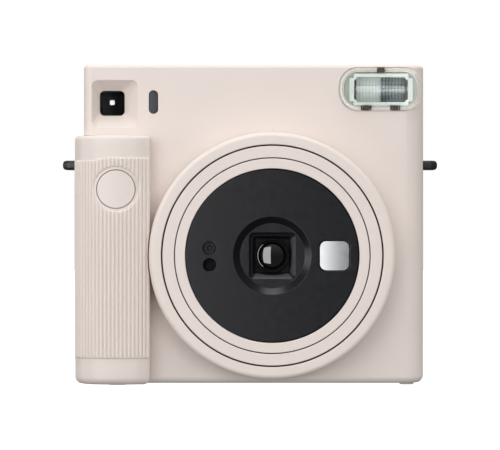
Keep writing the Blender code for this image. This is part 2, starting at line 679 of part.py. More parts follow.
def make_finder():
    square = (FINDER_X, FINDER_Z)
    back = BODY_FRONT + FINDER_DEPTH + GAP
    tube = centred_box("viewfinder_tube", *square, FINDER_TUBE, FINDER_TUBE, back, 25.2)
    bore = FINDER_TUBE_BORE
    cut(tube, centred_box("finder_bore", *square, bore, bore, -20, 40))
    part(tube, BLACK)
    lens = FINDER_TUBE_BORE - 2 * GAP
    part(centred_box("viewfinder_front_lens", *square, lens, lens, back, back + 1.6), GLASS)
    part(centred_box("viewfinder_rear_lens", *square, lens, lens, 20, 22), GLASS)
    frame = centred_box("eyepiece_frame", *square, 19.0, 16.5, 25.8, 28.75, 0.8)
    cut(frame, centred_box("eyepiece_bore", *square, 9.6, 9.6, 20, 40))
    part(frame, RUBBER)
    part(prism("light_receiver_window", [receiver_outline(GAP)], -16.9, -15.2, "Y"), DARK)


def make_batteries():
    holder = box("battery_holder", (-62.3, -17.4, 10.2), (-43.9, 0.9, 70.2))
    cut(holder, box("battery_room", (-70, -16.3, 11.4), (-45.0, -0.1, 69.2)))
    part(holder, BLACK)
    for index, name in enumerate(("battery_lower", "battery_upper")):
        middle = BATTERY_BOTTOM + BATTERY_LENGTH / 2 + index * (BATTERY_LENGTH + GAP)
        radius = BATTERY_RADIUS
        cell = rod(name, (BATTERY_X, BATTERY_Y, middle), radius, BATTERY_LENGTH, "Z", 24)
        part(cell, STEEL)
    ends = (("battery_contact_lower", 11.7, 12.8), ("battery_contact_upper", 67.9, 68.9))
    for name, low, high in ends:
        part(box(name, (-58, -13.2, low), (-47, -3.2, high)), BRASS)


def make_flash():
    width, height = FLASH_WIDTH - 2 * GAP, FLASH_HEIGHT - 2 * GAP
    radius = FLASH_ROUND - GAP
    outline = rounded_rectangle(FLASH_X, FLASH_Z, width, height, radius)
    cover = prism("flash_cover", [outline], FLASH_FRONT, -11.0, "Y")
    inner = rounded_rectangle(FLASH_X, FLASH_Z, width - 2.4, height - 2.4, radius - 1.2)
    cut(cover, prism("flash_cover_room", [inner], FLASH_FRONT + 1.2, -5, "Y"))
    part(cover, CLEAR)
    rim = rounded_rectangle(FLASH_X, FLASH_Z, 26.0, 12.4, 4.2)
    reflector = prism("flash_reflector", [rim], -16.4, -8.0, "Y")
    trough = rod("reflector_trough", (FLASH_X, -17.6, FLASH_Z), 6.0, 22.0, "X", 24)
    cut(reflector, trough)
    part(reflector, MIRROR)
    part(rod("flash_tube", (FLASH_X, -13.9, FLASH_Z), 1.2, 21.0, "X", 16), GLASS)
    part(rod("flash_capacitor", (57.2, -8.2, 32), 4.8, 40, "Z", 20), DARK)


def make_boards():
    part(box("main_board", (58.6, 2.0, 12), (60.2, 21.0, 98)), BOARD)
    profile = (
        (0, 20.6),
        (1.4, 20.6),
        (COUNTER_RADIUS, 20.6),
        (COUNTER_RADIUS, 21.6),
        (1.4, 21.6),
        (1.4, 22.8),
        (0, 22.8),
    )
    disc = turned("counter_disc", profile, COUNTER_X, COUNTER_Z, 32, ring=False)
    part(disc, NYLON)
    part(rod("counter_window", (COUNTER_X, 24.7, COUNTER_WINDOW_Z), 3.0, 1.4, "Y", 24), CLEAR)


def make_exit_flap():
    low = (EXIT_LEFT + 0.4, FILM_PLANE - 1.5, 118.1)
    high = (EXIT_RIGHT - 0.4, FILM_PLANE + 1.3, BODY_TOP)
    pivot = ((EXIT_LEFT + EXIT_RIGHT) / 2, FILM_PLANE + 0.8, 118.65)
    part(box("film_exit_flap", low, high, pivot=pivot), BLACK)


def make_screws():
    for index, (x, z) in enumerate(SCREW_PLACES, 1):
        screw = rod(f"cover_screw_{index}", (x, BODY_REAR - 0.5, z), 1.9, 0.9, "Y", 16)
        slot = box(f"screw_slot_{index}", (x - 1.3, 25.1, z - 0.25), (x + 1.3, 26, z + 0.25))
        cut(screw, slot)
        part(screw, STEEL)


make_front_cover()
make_rear_cover()
make_grip()
make_button()
make_dial_and_barrels()
make_lens_plate()
make_lens_and_shutter()
make_film_chamber()
make_rollers(make_gears())
make_back_door()
make_finder()
make_batteries()
make_flash()
make_boards()
make_exit_flap()
make_screws()
make_strap_lug("strap_lug_left", -1)
make_strap_lug("strap_lug_right", 1)
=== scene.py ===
"""The looks of an instant camera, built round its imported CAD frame.

Numbers are millimetres unless a comment says otherwise, and MM turns them into metres. The lens
looks along -Y, +X is on the right of someone who faces the lens, and +Z is up. Each piece rides on
the body of the CAD node that it stands for.
"""

import json
import math

import bmesh
import bpy
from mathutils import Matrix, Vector

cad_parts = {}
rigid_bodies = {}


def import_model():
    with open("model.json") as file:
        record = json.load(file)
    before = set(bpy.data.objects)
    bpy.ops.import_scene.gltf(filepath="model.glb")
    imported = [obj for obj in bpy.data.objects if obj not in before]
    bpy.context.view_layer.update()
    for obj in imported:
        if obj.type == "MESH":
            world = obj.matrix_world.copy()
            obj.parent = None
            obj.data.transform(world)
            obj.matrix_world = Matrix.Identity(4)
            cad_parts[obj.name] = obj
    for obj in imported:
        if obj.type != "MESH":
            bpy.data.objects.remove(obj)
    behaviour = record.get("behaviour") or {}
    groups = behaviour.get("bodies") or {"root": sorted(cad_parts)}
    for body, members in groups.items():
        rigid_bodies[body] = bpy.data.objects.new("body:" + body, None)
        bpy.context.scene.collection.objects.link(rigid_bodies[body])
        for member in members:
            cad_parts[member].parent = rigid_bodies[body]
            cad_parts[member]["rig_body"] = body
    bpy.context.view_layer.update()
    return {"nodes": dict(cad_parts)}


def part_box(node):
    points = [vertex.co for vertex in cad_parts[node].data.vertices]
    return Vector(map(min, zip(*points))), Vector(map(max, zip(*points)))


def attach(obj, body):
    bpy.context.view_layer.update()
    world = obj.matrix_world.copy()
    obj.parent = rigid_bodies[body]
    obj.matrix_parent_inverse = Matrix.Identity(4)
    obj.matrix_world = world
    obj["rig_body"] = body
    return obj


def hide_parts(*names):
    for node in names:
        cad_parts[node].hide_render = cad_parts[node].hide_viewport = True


MM = 0.001
TIP = 0.01  # radius at which a turned profile closes on its axis

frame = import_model()


def corners(node):
    low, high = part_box(node)
    return low / MM, high / MM


def middle(node):
    low, high = corners(node)
    return (low + high) / 2


def extent(node):
    low, high = corners(node)
    return high - low


# The housing, from the boxes of its shells
FRONT_LOW, FRONT_HIGH = corners("front_cover")
REAR_LOW, REAR_HIGH = corners("rear_cover")
GRIP_LOW, GRIP_HIGH = corners("grip_cover")
EAR_HEIGHT, FOOT_HEIGHT, WALL, GAP = 2.8, 0.8, 2.0, 0.3
LEFT, RIGHT, TOP = FRONT_LOW.x, FRONT_HIGH.x, FRONT_HIGH.z
FRONT, SEAM, REAR = FRONT_LOW.y, FRONT_HIGH.y, REAR_HIGH.y - EAR_HEIGHT
BOTTOM = FRONT_LOW.z + FOOT_HEIGHT
TOP_ROUND, BOTTOM_ROUND, GRIP_TOP_ROUND = 1.2, 2.6, 1.5
BODY_PLAN = ((LEFT, FRONT, 2.8), (RIGHT, FRONT, 8.0), (RIGHT, REAR, 6.0), (LEFT, REAR, 6.0))

# The lens group, round one axis
LENS = middle("lens_dial")
AXIS = (LENS.x, LENS.z)
LENS_FRONT = corners("lens_dial")[0].y
DIAL_RADIUS = extent("lens_dial").x / 2
OUTER_RADIUS = extent("outer_barrel").x / 2 + 0.12
INNER_RADIUS = extent("inner_barrel").x / 2
PLATE_RADIUS = extent("lens_plate").x / 2
DIAL_BORE = OUTER_RADIUS + 0.53
OUTER_LIP = INNER_RADIUS + 0.35
INNER_LIP = PLATE_RADIUS + 0.3
HUB_RADIUS, HUB_WAY, HUB_BACK = 43.8, 44.1, -11.0
MIRROR_CORNER = 2.3
DOME_RADIUS, DOME_EDGE = 9.0, 5.2

# The ribbed band of the grip
RIB_PITCH, RIB_HEIGHT, RIB_END, RIB_STEPS = 1.4724, 0.5, 0.9, 14
RIB_LOW, RIB_HIGH, RIB_RISE, RIB_RISE_START, RIB_RISE_LENGTH = 10.3, 83.7, 0.9, 7.6, 5
RIB_GROOVE_X = -49.72
BUTTON = middle("shutter_button")
BUTTON_RADIUS, BUTTON_GAP, BUTTON_BORDER = 6.97, 0.3, 0.9
BUTTON_CLEAR = BUTTON_RADIUS + BUTTON_GAP + BUTTON_BORDER

# The viewfinder's recess, as (u, v, width, height, corner radius), and the flash
FINDER_MOUTH = (-50.3, 104.75, 16.6, 17.1, 2.1)
FINDER_THROAT = (-51.45, 105.15, 9.3, 9.3, 1.8)
FINDER_DEPTH, FINDER_PANE = 4.6, 9.6
FLASH = middle("flash_cover")
FLASH_SIZE, FLASH_CORNER = extent("flash_cover"), 6.9
FLASH_SEAT = corners("flash_cover")[0].y + 2.3
REFLECTOR_X, REFLECTOR_Z = FLASH.x + 0.1, FLASH.z - 0.2
# Clips over the window's edge: place across, 1 for the top or -1 for the bottom, and width
FLASH_CLIPS = ((48.6, 1, 2.8), (43.2, -1, 2.3), (41.5, -1, 0.35), (44.9, -1, 0.35))
FLASH_CLIPS += ((54.0, -1, 2.1), (52.4, -1, 0.35), (55.6, -1, 0.35))

# The back: openings as (u, v, width, height, corner radius), the film door and the screws
FILM_OPENING = (8.0, 56.15, 83.0, 99.7, 1.5)
EYEPIECE_OPENING = (-51.2, 104.9, 13.4, 13.4, 1.2)
LATCH_POCKET = (-30.5, 57.0, 6.2, 20.4, 1.2)
DOOR_RIGHT, DOOR_FACE = 57.1, 28.0
PIN, PIN_BORE = middle("door_hinge_pin"), 0.9
COVER_SCREWS = [f"cover_screw_{index}" for index in range(1, 5)]

# The viewpoint, in metres, and its lens; the glow of the surroundings, level and straight up
VIEW_DISTANCE, VIEW_HEIGHT, VIEW_SENSOR_MM, VIEW_LENS_MM = 1.0, 0.0597, 36.0, 193.55
GLOW_LEVEL, GLOW_RISE, GLOSSY_CUT = 0.35, 0.9, 0.78


# ---- shapes


def arc(centre, radius, start, end, steps):
    turns = (start + (end - start) * step / steps for step in range(steps + 1))
    return [(centre[0] + radius * math.cos(a), centre[1] + radius * math.sin(a)) for a in turns]


def filleted(outline, steps=8):
    """An outline whose corners (u, v, radius) are rounded by arcs."""
    made = []
    for index, (u, v, radius) in enumerate(outline):
        if not radius:
            made.append((u, v))
            continue
        here = Vector((u, v))
        before = (Vector(outline[index - 1][:2]) - here).normalized()
        after = (Vector(outline[(index + 1) % len(outline)][:2]) - here).normalized()
        half = before.angle(after) / 2
        centre = here + (before + after).normalized() * radius / math.sin(half)
        first, last = (here + side * radius / math.tan(half) - centre for side in (before, after))
        start, end = math.atan2(first.y, first.x), math.atan2(last.y, last.x)
        turn = (end - start + math.pi) % (2 * math.pi) - math.pi
        made += arc(centre, radius, start, start + turn, steps)
    return made


def rectangle(u, v, width, height, radius, steps=8):
    """A rectangle about (u, v) with rounded corners."""
    left, right, low, high = u - width / 2, u + width / 2, v - height / 2, v + height / 2
    sides = ((left, low), (right, low), (right, high), (left, high))
    return filleted([(*side, radius) for side in sides], steps)


def circle(u, v, radius, steps=96):
    return [(u + radius * math.cos(a), v + radius * math.sin(a)) for a in turn_angles(steps)]


def turn_angles(steps):
    return [2 * math.pi * step / steps for step in range(steps)]


def drawn_in(outline, inset):
    """The outline with each side moved inward, or outward for a negative inset."""
    if not inset:
        return outline
    area = sum(a[0] * b[1] - b[0] * a[1] for a, b in zip(outline, outline[1:] + outline[:1]))
    sign = 1 if area > 0 else -1
    moved = []
    for index, point in enumerate(outline):
        here = Vector(point)
        before = (here - Vector(outline[index - 1])).normalized()
        after = (Vector(outline[(index + 1) % len(outline)]) - here).normalized()
        normal = Vector((-(before + after).y, (before + after).x)).normalized() * sign
        slant = max(0.3, normal.dot(Vector((-before.y, before.x)) * sign))
        moved.append(tuple(here + normal * inset / slant))
    return moved


def divided(outline, longest):
    """The outline with points added along each side that is longer than this."""
    made = []
    for here, there in zip(outline, outline[1:] + outline[:1]):
        count = math.ceil(math.dist(here, there) / longest)
        made += [tuple(Vector(here).lerp(Vector(there), k / count)) for k in range(count)]
    return made


def placed(u, v, along, facing):
    """The point at u and v across a facing axis and at a distance along it."""
    return {"X": (along, u, v), "Y": (u, along, v), "Z": (u, v, along)}[facing]


def rings_of(layers, facing):
    """Rings of points, from pairs of an outline and its place along the facing axis."""
    return [[placed(u, v, along, facing) for u, v in outline] for outline, along in layers]


def quarter(steps=5):
    """Points on a quarter circle of radius 1, as distances from the tangents at its two ends."""
    turns = [math.pi / 2 * step / steps for step in range(steps + 1)]
    return [(1 - math.cos(a), 1 - math.sin(a)) for a in turns]


def new_object(name, data):
    obj = bpy.data.objects.new(name, data)
    bpy.context.scene.collection.objects.link(obj)
    return obj


def object_of(name, shape):
    """A new object with the mesh of a bmesh, which is freed."""
    mesh = bpy.data.meshes.new(name)
    shape.to_mesh(mesh)
    shape.free()
    return new_object(name, mesh)


def mesh_object(name, points, faces):
    shape = bmesh.new()
    verts = [shape.verts.new(Vector(point) * MM) for point in points]
    for face in faces:
        shape.faces.new([verts[index] for index in face])
    bmesh.ops.recalc_face_normals(shape, faces=shape.faces)
    return object_of(name, shape)


def loft(name, rings, endless=False):
    """A closed skin over rings of points, with a cap at both ends or, if endless, none."""
    count, last = len(rings[0]), len(rings) - 1
    faces = []
    for index in range(last + endless):
        here, there = index * count, (index + 1) % (last + 1) * count
        for k in range(count):
            after = (k + 1) % count
            faces.append((here + k, here + after, there + after, there + k))
    if not endless:
        faces += [range(count), range(last * count, (last + 1) * count)]
    return mesh_object(name, [point for ring in rings for point in ring], faces)


def turned(name, profile, u, v, steps=160, hollow=False, facing="Y"):
    """A shape turned about an axis, from points (radius, place along it). A hollow one closes."""
    layers = [(circle(u, v, radius, steps), along) for radius, along in profile]
    return layered(name, layers, facing, hollow)


def layered(name, layers, facing="Y", hollow=False):
    """A skin over outlines, from pairs of an outline and its place along the facing axis."""
    return loft(name, rings_of(layers, facing), hollow)


def rounding(outline, end, radius, inward):
    """Layers from an outline's full size to its end, drawn in along a quarter circle."""
    if not radius:
        return [(outline, end)]
    return [
        (drawn_in(outline, radius * across), end + inward * radius * along)
        for across, along in quarter()
    ]


def plate(name, outline, low, high, low_round=0.0, high_round=0.0, facing="Y"):
    """A solid of one outline between two places along its facing axis, with rounded ends."""
    start = rounding(outline, low, low_round, 1)[::-1]
    return layered(name, start + rounding(outline, high, high_round, -1), facing)


def box_plate(name, low, high, corner, edge, facing="Y"):
    """A box between two corners, with rounded corners and rounded ends along its facing axis."""
    across, up, along = {"X": (1, 2, 0), "Y": (0, 2, 1), "Z": (0, 1, 2)}[facing]
    size = [high[k] - low[k] for k in range(3)]
    outline = rectangle(
        (low[across] + high[across]) / 2, (low[up] + high[up]) / 2, size[across], size[up], corner
    )
    return plate(name, outline, low[along], high[along], edge, edge, facing)


def flared(name, outline, surface, inside, lip, facing="Y"):
    """A cutter for an opening whose rim at the surface is rounded outward by the lip."""
    inward = 1 if inside > surface else -1
    layers = [(drawn_in(outline, -lip), surface - inward)]
    for across, along in quarter():
        layers.append((drawn_in(outline, -lip * along), surface + inward * lip * across))
    return layered(name, [*layers, (outline, inside)], facing)


def grooves(count, pitch, first, size, *ends, facing="Y"):
    """Cutters for a row of grooves, from the middle (u, v) of the first one."""
    u, v = first
    return [
        plate(f"groove_{k}", rectangle(u, v + pitch * k, *size), *ends, facing=facing)
        for k in range(count)
    ]


def combined(obj, operation, *tools):
    for tool in tools:
        step = obj.modifiers.new(tool.name, "BOOLEAN")
        step.operation, step.solver, step.object = operation, "EXACT", tool
    evaluated = obj.evaluated_get(bpy.context.evaluated_depsgraph_get())
    made = bpy.data.meshes.new_from_object(evaluated)
    obj.modifiers.clear()
    obj.data = made
    for tool in tools:
        bpy.data.objects.remove(tool)
    return obj


def cut(obj, *tools):
    return combined(obj, "DIFFERENCE", *tools)


def join(obj, *tools):
    return combined(obj, "UNION", *tools)


def gathered(name, objects):
    """Several meshes as one object, each still a closed body of its own."""
    shape = bmesh.new()
    for obj in objects:
        shape.from_mesh(obj.data)
        bpy.data.objects.remove(obj)
    return object_of(name, shape)


def smooth(obj, sharp_angle):
    """Shades the faces smooth, apart from edges that turn more than the angle, in degrees."""
    shape = bmesh.new()
    shape.from_mesh(obj.data)
    many_sided = [face for face in shape.faces if len(face.verts) > 4]
    bmesh.ops.triangulate(shape, faces=many_sided)
    bmesh.ops.remove_doubles(shape, verts=shape.verts, dist=0.000001)
    for face in shape.faces:
        face.smooth = True
    for edge in shape.edges:
        edge.smooth = edge.calc_face_angle(0) < math.radians(sharp_angle)
    shape.to_mesh(obj.data)
    shape.free()
    weighted = obj.modifiers.new("weighted normals", "WEIGHTED_NORMAL")
    weighted.keep_sharp = True


def finish(obj, material, node, stands_for=True, sharp_angle=32):
    """Gives a piece its material, and makes it ride with a CAD node and stand for it."""
    smooth(obj, sharp_angle)
    obj.data.materials.clear()
    obj.data.materials.append(material)
    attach(obj, frame["nodes"][node]["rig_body"])
    if stands_for:
        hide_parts(node)


# ---- materials


class Nodes:
    """A node tree, with calls that add a node and link or set its inputs."""

    def __init__(self, owner):
        owner.use_nodes = True
        self.tree = owner.node_tree

    def node(self, kind, links=(), **settings):
        made = self.tree.nodes.new("ShaderNode" + kind)
        for name, value in settings.items():
            setattr(made, name, value)
        for socket, value in dict(links).items():
            if isinstance(value, bpy.types.NodeSocket):
                self.tree.links.new(value, made.inputs[socket])
            else:
                made.inputs[socket].default_value = value
        return made

    def maths(self, operation, first, second=0.0):
        return self.node("Math", {0: first, 1: second}, operation=operation).outputs[0]


class Surface(Nodes):
    """A Principled material. Noise is sampled in metres, in object space."""

    def __init__(self, name, **sockets):
        self.material = bpy.data.materials.new(name)
        super().__init__(self.material)
        self.shader = self.tree.nodes["Principled BSDF"]
        self.place = self.node("TexCoord").outputs["Object"]
        for socket, value in sockets.items():
            self.shader.inputs[socket.replace("_", " ")].default_value = value

    def noise(self, scale, detail=2.0, stretch=(1, 1, 1)):
        place = self.node("Mapping", {"Vector": self.place, "Scale": stretch}).outputs[0]
        return self.node("TexNoise", {"Vector": place, "Scale": scale, "Detail": detail}).outputs[0]

    def spread(self, value, low, high, start=0.3, end=0.7):
        links = {"Value": value, "From Min": start, "From Max": end, "To Min": low, "To Max": high}
        return self.node("MapRange", links).outputs[0]

    def colour_between(self, factor, first, second):
        mix = self.node("Mix", data_type="RGBA")
        self.tree.links.new(factor, mix.inputs["Factor"])
        for socket, value in ((mix.inputs[6], first), (mix.inputs[7], second)):
            if isinstance(value, bpy.types.NodeSocket):
                self.tree.links.new(value, socket)
            else:
                socket.default_value = (*value, 1.0)
        return mix.outputs[2]

    def inside(self, radius, front):
        """1 within this radius of the lens axis, further back than this place along it."""
        axis = (LENS.x * MM, 0, LENS.z * MM)
        offset = self.node("VectorMath", {0: self.place, 1: axis}, operation="SUBTRACT").outputs[0]
        across = self.node("VectorMath", {0: offset, 1: (1, 0, 1)}, operation="MULTIPLY").outputs[0]
        length = self.node("VectorMath", {0: across}, operation="LENGTH").outputs["Value"]
        near = self.spread(length, 1, 0, (radius + 0.03) * MM, (radius + 0.06) * MM)
        depth = self.node("SeparateXYZ", {"Vector": self.place}).outputs["Y"]
        deep = self.spread(depth, 0, 1, front * MM, (front + 0.12) * MM)
        return self.maths("MULTIPLY", near, deep)

    def set(self, socket, value):
        self.tree.links.new(value, self.shader.inputs[socket])

    def bump(self, height, depth):
        """Raises the surface by up to the depth, in millimetres, where the height is 1."""
        links = {"Height": height, "Distance": depth * MM, "Strength": 1.0}
        self.set("Normal", self.node("Bump", links).outputs[0])


def varied(
    name, colour, roughness, grain=(2600, 0.012), mottle=0.03, stretch=(1, 1, 1), bore=(), **sockets
):
    """A surface with fine grain, and slight blotches in its colour and roughness.

    The grain is (scale, depth). Inside a bore, two radii at the lip and behind it, the colour is
    painted near black: painted shade for the dark gaps between the lens rings.
    """
    made = Surface(name, **sockets)
    blotches = made.noise(55, 3, stretch)
    darker = [channel * (1 - mottle) for channel in colour]
    lighter = [min(1.0, channel * (1 + mottle)) for channel in colour]
    shade = made.colour_between(made.spread(blotches, 0, 1), darker, lighter)
    # Painted shade: the bore's walls and floor are painted near black, where the gaps between the
    # rings fall in shade.
    if bore:
        lip, wall = made.inside(bore[0], LENS_FRONT + 0.18), made.inside(bore[1], LENS_FRONT + 3.2)
        painted_gap_shade = made.maths("MAXIMUM", lip, wall)
        shade = made.colour_between(painted_gap_shade, shade, (0.012, 0.011, 0.010))
    made.set("Base Color", shade)
    scuffs = made.noise(420, 4, stretch)
    made.set("Roughness", made.spread(scuffs, roughness * 0.88, min(1.0, roughness * 1.12)))
    made.bump(made.noise(grain[0], 2, stretch), grain[1])
    return made.material


def clear_surface(name, colour, roughness, ior=1.5, **sockets):
    """A see-through plastic or glass whose gloss is slightly uneven."""
    made = Surface(name, Transmission_Weight=1.0, IOR=ior, **sockets)
    made.shader.inputs["Base Color"].default_value = (*colour, 1.0)
    smears = made.noise(160, 3)
    made.set("Roughness", made.spread(smears, roughness * 0.6, roughness * 1.4))
    made.bump(made.noise(90, 1), 0.0008)
    return made.material


BODY_COLOUR = (0.745, 0.662, 0.615)
BODY = varied("body_plastic_matte", BODY_COLOUR, 0.52, (2600, 0.012), 0.015)
# The dial and the two tubes are the body plastic with painted shade in their bores.
DIAL, OUTER, INNER = (
    varied(f"body_plastic_{name}", BODY_COLOUR, 0.5, (2600, 0.012), 0.015, bore=radii)
    for name, radii in (
        ("dial", (DIAL_BORE, DIAL_RADIUS - 1.2)),
        ("outer", (OUTER_LIP, OUTER_RADIUS - 0.8)),
        ("inner", (INNER_LIP, INNER_RADIUS - 0.8)),
    )
)
SATIN = (0.004, 0.0044, 0.0062)
BLACK = varied("black_plastic_satin", SATIN, 0.32, (3000, 0.003), 0.06, Specular_IOR_Level=0.42)
MATTE = (0.004, 0.004, 0.005)
DEEP_BLACK = varied("black_plastic_matte", MATTE, 0.8, (1800, 0.02), 0.1, Specular_IOR_Level=0.15)
INNER_BLACK = varied("chamber_plastic", (0.018, 0.018, 0.019), 0.55, (1500, 0.02), 0.1)
RUBBER = varied("rubber_soft", (0.014, 0.014, 0.015), 0.62, (2200, 0.02), 0.12)
LUG = varied("lug_plastic_black", (0.018, 0.018, 0.017), 0.38, (2400, 0.012), 0.08)
TAB = varied("tab_plastic_brown", (0.05, 0.035, 0.028), 0.5, (2400, 0.012), 0.1)
WINDOW = varied("sensor_window_smoked", (0.055, 0.058, 0.068), 0.16, (900, 0.002), 0.03)
STEEL = varied(
    "steel_brushed", (0.56, 0.56, 0.57), 0.34, (1400, 0.01), 0.05, (12, 1, 1), Metallic=1.0
)
BRASS = varied("contact_brass", (0.72, 0.55, 0.26), 0.3, (1400, 0.01), 0.06, Metallic=1.0)
NYLON = varied("gear_nylon", (0.72, 0.71, 0.66), 0.45, (1800, 0.015), 0.04)
CHROME = varied("mirror_coating", (0.50, 0.505, 0.515), 0.34, (120, 0.0002), 0.01, Metallic=1.0)
FROST = varied("reflector_frame_white", (0.76, 0.78, 0.76), 0.4, (1200, 0.006), 0.03)
TRAY = varied("reflector_tray_grey", (0.44, 0.47, 0.42), 0.45, (1200, 0.006), 0.03)
COATED = clear_surface("finder_glass_coated", (0.97, 0.98, 1.0), 0.01, 1.12)
# The front element is opaque near-black glass. Its black is painted shade for the dark inside of
# the lens, so only its front surface reflects.
PAINTED_DARK_GLASS = varied("lens_glass_painted_dark", (0.002, 0.0022, 0.003), 0.05, (60, 0.0005), 0.02, IOR=2.0)
GLASS = clear_surface("lens_glass_coated", (0.85, 0.88, 0.95), 0.01, 1.75, Specular_IOR_Level=0.75)
TUBE = clear_surface("flash_tube_glass", (0.97, 0.98, 1.0), 0.02, 1.47)
CLEAR = clear_surface("clear_plastic_cover", (0.93, 0.96, 0.94), 0.03, 1.49)


def battery_jacket():
    """A wrapped cell: dark blue film whose colour and gloss vary slightly."""
    made = Surface("battery_jacket_wrap")
    band = made.spread(made.noise(30, 2), 0, 1)
    made.set("Base Color", made.colour_between(band, (0.03, 0.05, 0.10), (0.04, 0.065, 0.13)))
    made.set("Roughness", made.spread(made.noise(500, 3), 0.22, 0.36))
    return made.material


def reflector_foil():
    """Foil pressed with upright ribs on its left and a lattice on its right; its left half is
    painted bright and its right half dark, a painted reflection of the bright panel at the front
    left and the dim room on the right.
    """
    made = Surface("reflector_foil_painted_reflection", Metallic=1.0)
    place = made.node("SeparateXYZ", {"Vector": made.place}).outputs

    def lines(axis, pitch, share):
        turns = made.maths("DIVIDE", place[axis], pitch * MM)
        return made.maths("LESS_THAN", made.maths("FRACT", turns), share)

    upright, level = lines("X", 1.2, 0.35), lines("Z", 1.1, 0.3)
    lattice = made.maths("MAXIMUM", upright, level)
    # Painted reflection: the left half's colour is bright and the right half's dark, as the foil
    # would reflect the light on the left and dim surroundings on the right.
    left = made.colour_between(upright, (0.84, 0.86, 0.84), (0.72, 0.74, 0.72))
    right = made.colour_between(lattice, (0.36, 0.39, 0.40), (0.15, 0.165, 0.175))
    side = made.spread(place["X"], 0, 1, FLASH.x * MM, (FLASH.x + 0.05) * MM)
    made.set("Base Color", made.colour_between(side, left, right))
    scuffed = made.spread(made.noise(400, 3), 0.02, 0.1)
    gloss = made.spread(side, 0.5, 0.28, 0, 1)
    made.set("Roughness", made.maths("ADD", gloss, scuffed))
    made.bump(lattice, 0.004)
    return made.material


def circuit_board():
    """Green lacquer over copper runs."""
    made = Surface("board_lacquer")
    links = {"Vector": made.place, "Scale": 320}
    runs = made.node("TexVoronoi", links, distance="MANHATTAN", feature="F1").outputs["Distance"]
    track = made.spread(runs, 0, 1, 0.42, 0.46)
    made.set("Base Color", made.colour_between(track, (0.012, 0.09, 0.035), (0.03, 0.2, 0.08)))
    made.set("Roughness", made.spread(made.noise(300, 2), 0.28, 0.4))
    made.bump(track, 0.03)
    return made.material


# ---- housing


def side_outline():
    """The housing's outline as seen from the front."""
    low, high = ((LEFT, BOTTOM), (RIGHT, BOTTOM)), ((RIGHT, TOP), (LEFT, TOP))
    outline = [(*point, BOTTOM_ROUND) for point in low] + [(*point, TOP_ROUND) for point in high]
    return filleted(outline, 5)


def kept_side(name, far, seam):
    """The room on one side of the seam, drawn in at the seam to round the shell's edge."""
    outline, edge = drawn_in(side_outline(), -0.02), 0.3
    outside = drawn_in(outline, -4)
    inward = 1 if seam > far else -1
    layers = [(outside, far), (outside, seam - inward * (edge + 0.05))]
    layers.append((outline, seam - inward * edge))
    for across, along in quarter(3)[1:]:
        layers.append((drawn_in(outline, edge * across), seam - inward * edge * along))
    return layered(name, layers)


def half_shell(name, far, seam, room_low, room_high):
    """The hollow housing on one side of the seam, with room inside between two places along Y."""
    shell = plate(name, filleted(BODY_PLAN), BOTTOM, TOP, BOTTOM_ROUND, TOP_ROUND, "Z")
    combined(shell, "INTERSECT", kept_side("kept_side", far, seam))
    left, right = LEFT + WALL, RIGHT - WALL
    room = ((left, room_low, 1.0), (right, room_low, 5.0))
    room += ((right, room_high, 4.0), (left, room_high, 4.0))
    room = plate("room", filleted(room), BOTTOM + WALL, TOP - WALL, 0.6, 0.6, "Z")
    return cut(shell, room)


def foot(name, x, low_y, high_y, half_width=3.4):
    outline = rectangle(x, (low_y + high_y) / 2, 2 * half_width, high_y - low_y, 1.6)
    return plate(name, outline, 0, BOTTOM + 0.6, 0.45, 0, "Z")


def lug_slot(name, side):
    node = "strap_lug_right" if side > 0 else "strap_lug_left"
    low, high = corners(node)
    outline = rectangle(
        (low.y + high.y) / 2, (low.z + high.z) / 2, high.y - low.y + 0.6, high.z - low.z + 0.6, 1.5
    )
    surface = RIGHT if side > 0 else GRIP_LOW.x
    return flared(name, outline, surface, side * 55.0, 0.4, "X")


def front_shell():
    shell = half_shell("front_shell", FRONT - 6, SEAM, FRONT + WALL, REAR + 9)
    u, v, width, height, _ = FINDER_MOUTH
    low = (u - width / 2 - 1.0, FRONT + 1.0, v - height / 2 - 1.0)
    high = (u + width / 2 + 1.0, FRONT + FINDER_DEPTH, v + height / 2 + 1.0)
    boss = box_plate("finder_boss", low, high, 2.2, 0)
    join(shell, boss, foot("front_foot", 58.7, -11, 2, 2.6))
    high = (GRIP_HIGH.x - 1.7, 30, GRIP_HIGH.z + GAP)
    grip_room = box_plate("grip_room", (-90, -40, -9), high, 0.05, 0)
    dial_way = turned("dial_way", [(HUB_WAY, FRONT - 5), (HUB_WAY, FRONT + 6)], *AXIS)
    dot = [(0.34, FRONT - 1), (0.34, FRONT), (0.22, FRONT + 0.22)]
    dot = turned("index_dot", dot, LENS.x + 0.2, LENS.z + DIAL_RADIUS + 1.1, 24)
    cut(shell, grip_room, dial_way, dot, finder_funnel())
    receiver = drawn_in(window_outline(corners("light_receiver_window")), -0.3)
    flash_inner = flash_outline(1.6)
    cut(
        shell,
        flared("receiver_way", receiver, FRONT, FRONT + 6, 0.25),
        flared("flash_pocket", flash_outline(-0.28), FRONT, FLASH_SEAT + 0.05, 0.3),
        layered("flash_way", [(flash_inner, FRONT - 1), (flash_inner, FRONT + 9)]),
        lug_slot("right_lug_way", 1),
    )
    finish(shell, BODY, "front_cover")


def window_outline(box, radius=None):
    low, high = box
    width, height = high.x - low.x, high.z - low.z
    radius = min(width, height) / 2 - 0.01 if radius is None else radius
    return rectangle((low.x + high.x) / 2, (low.z + high.z) / 2, width, height, radius)


def flash_outline(inset):
    width, height = FLASH_SIZE.x - 2 * inset, FLASH_SIZE.z - 2 * inset
    return rectangle(FLASH.x, FLASH.z, width, height, FLASH_CORNER - inset, 12)


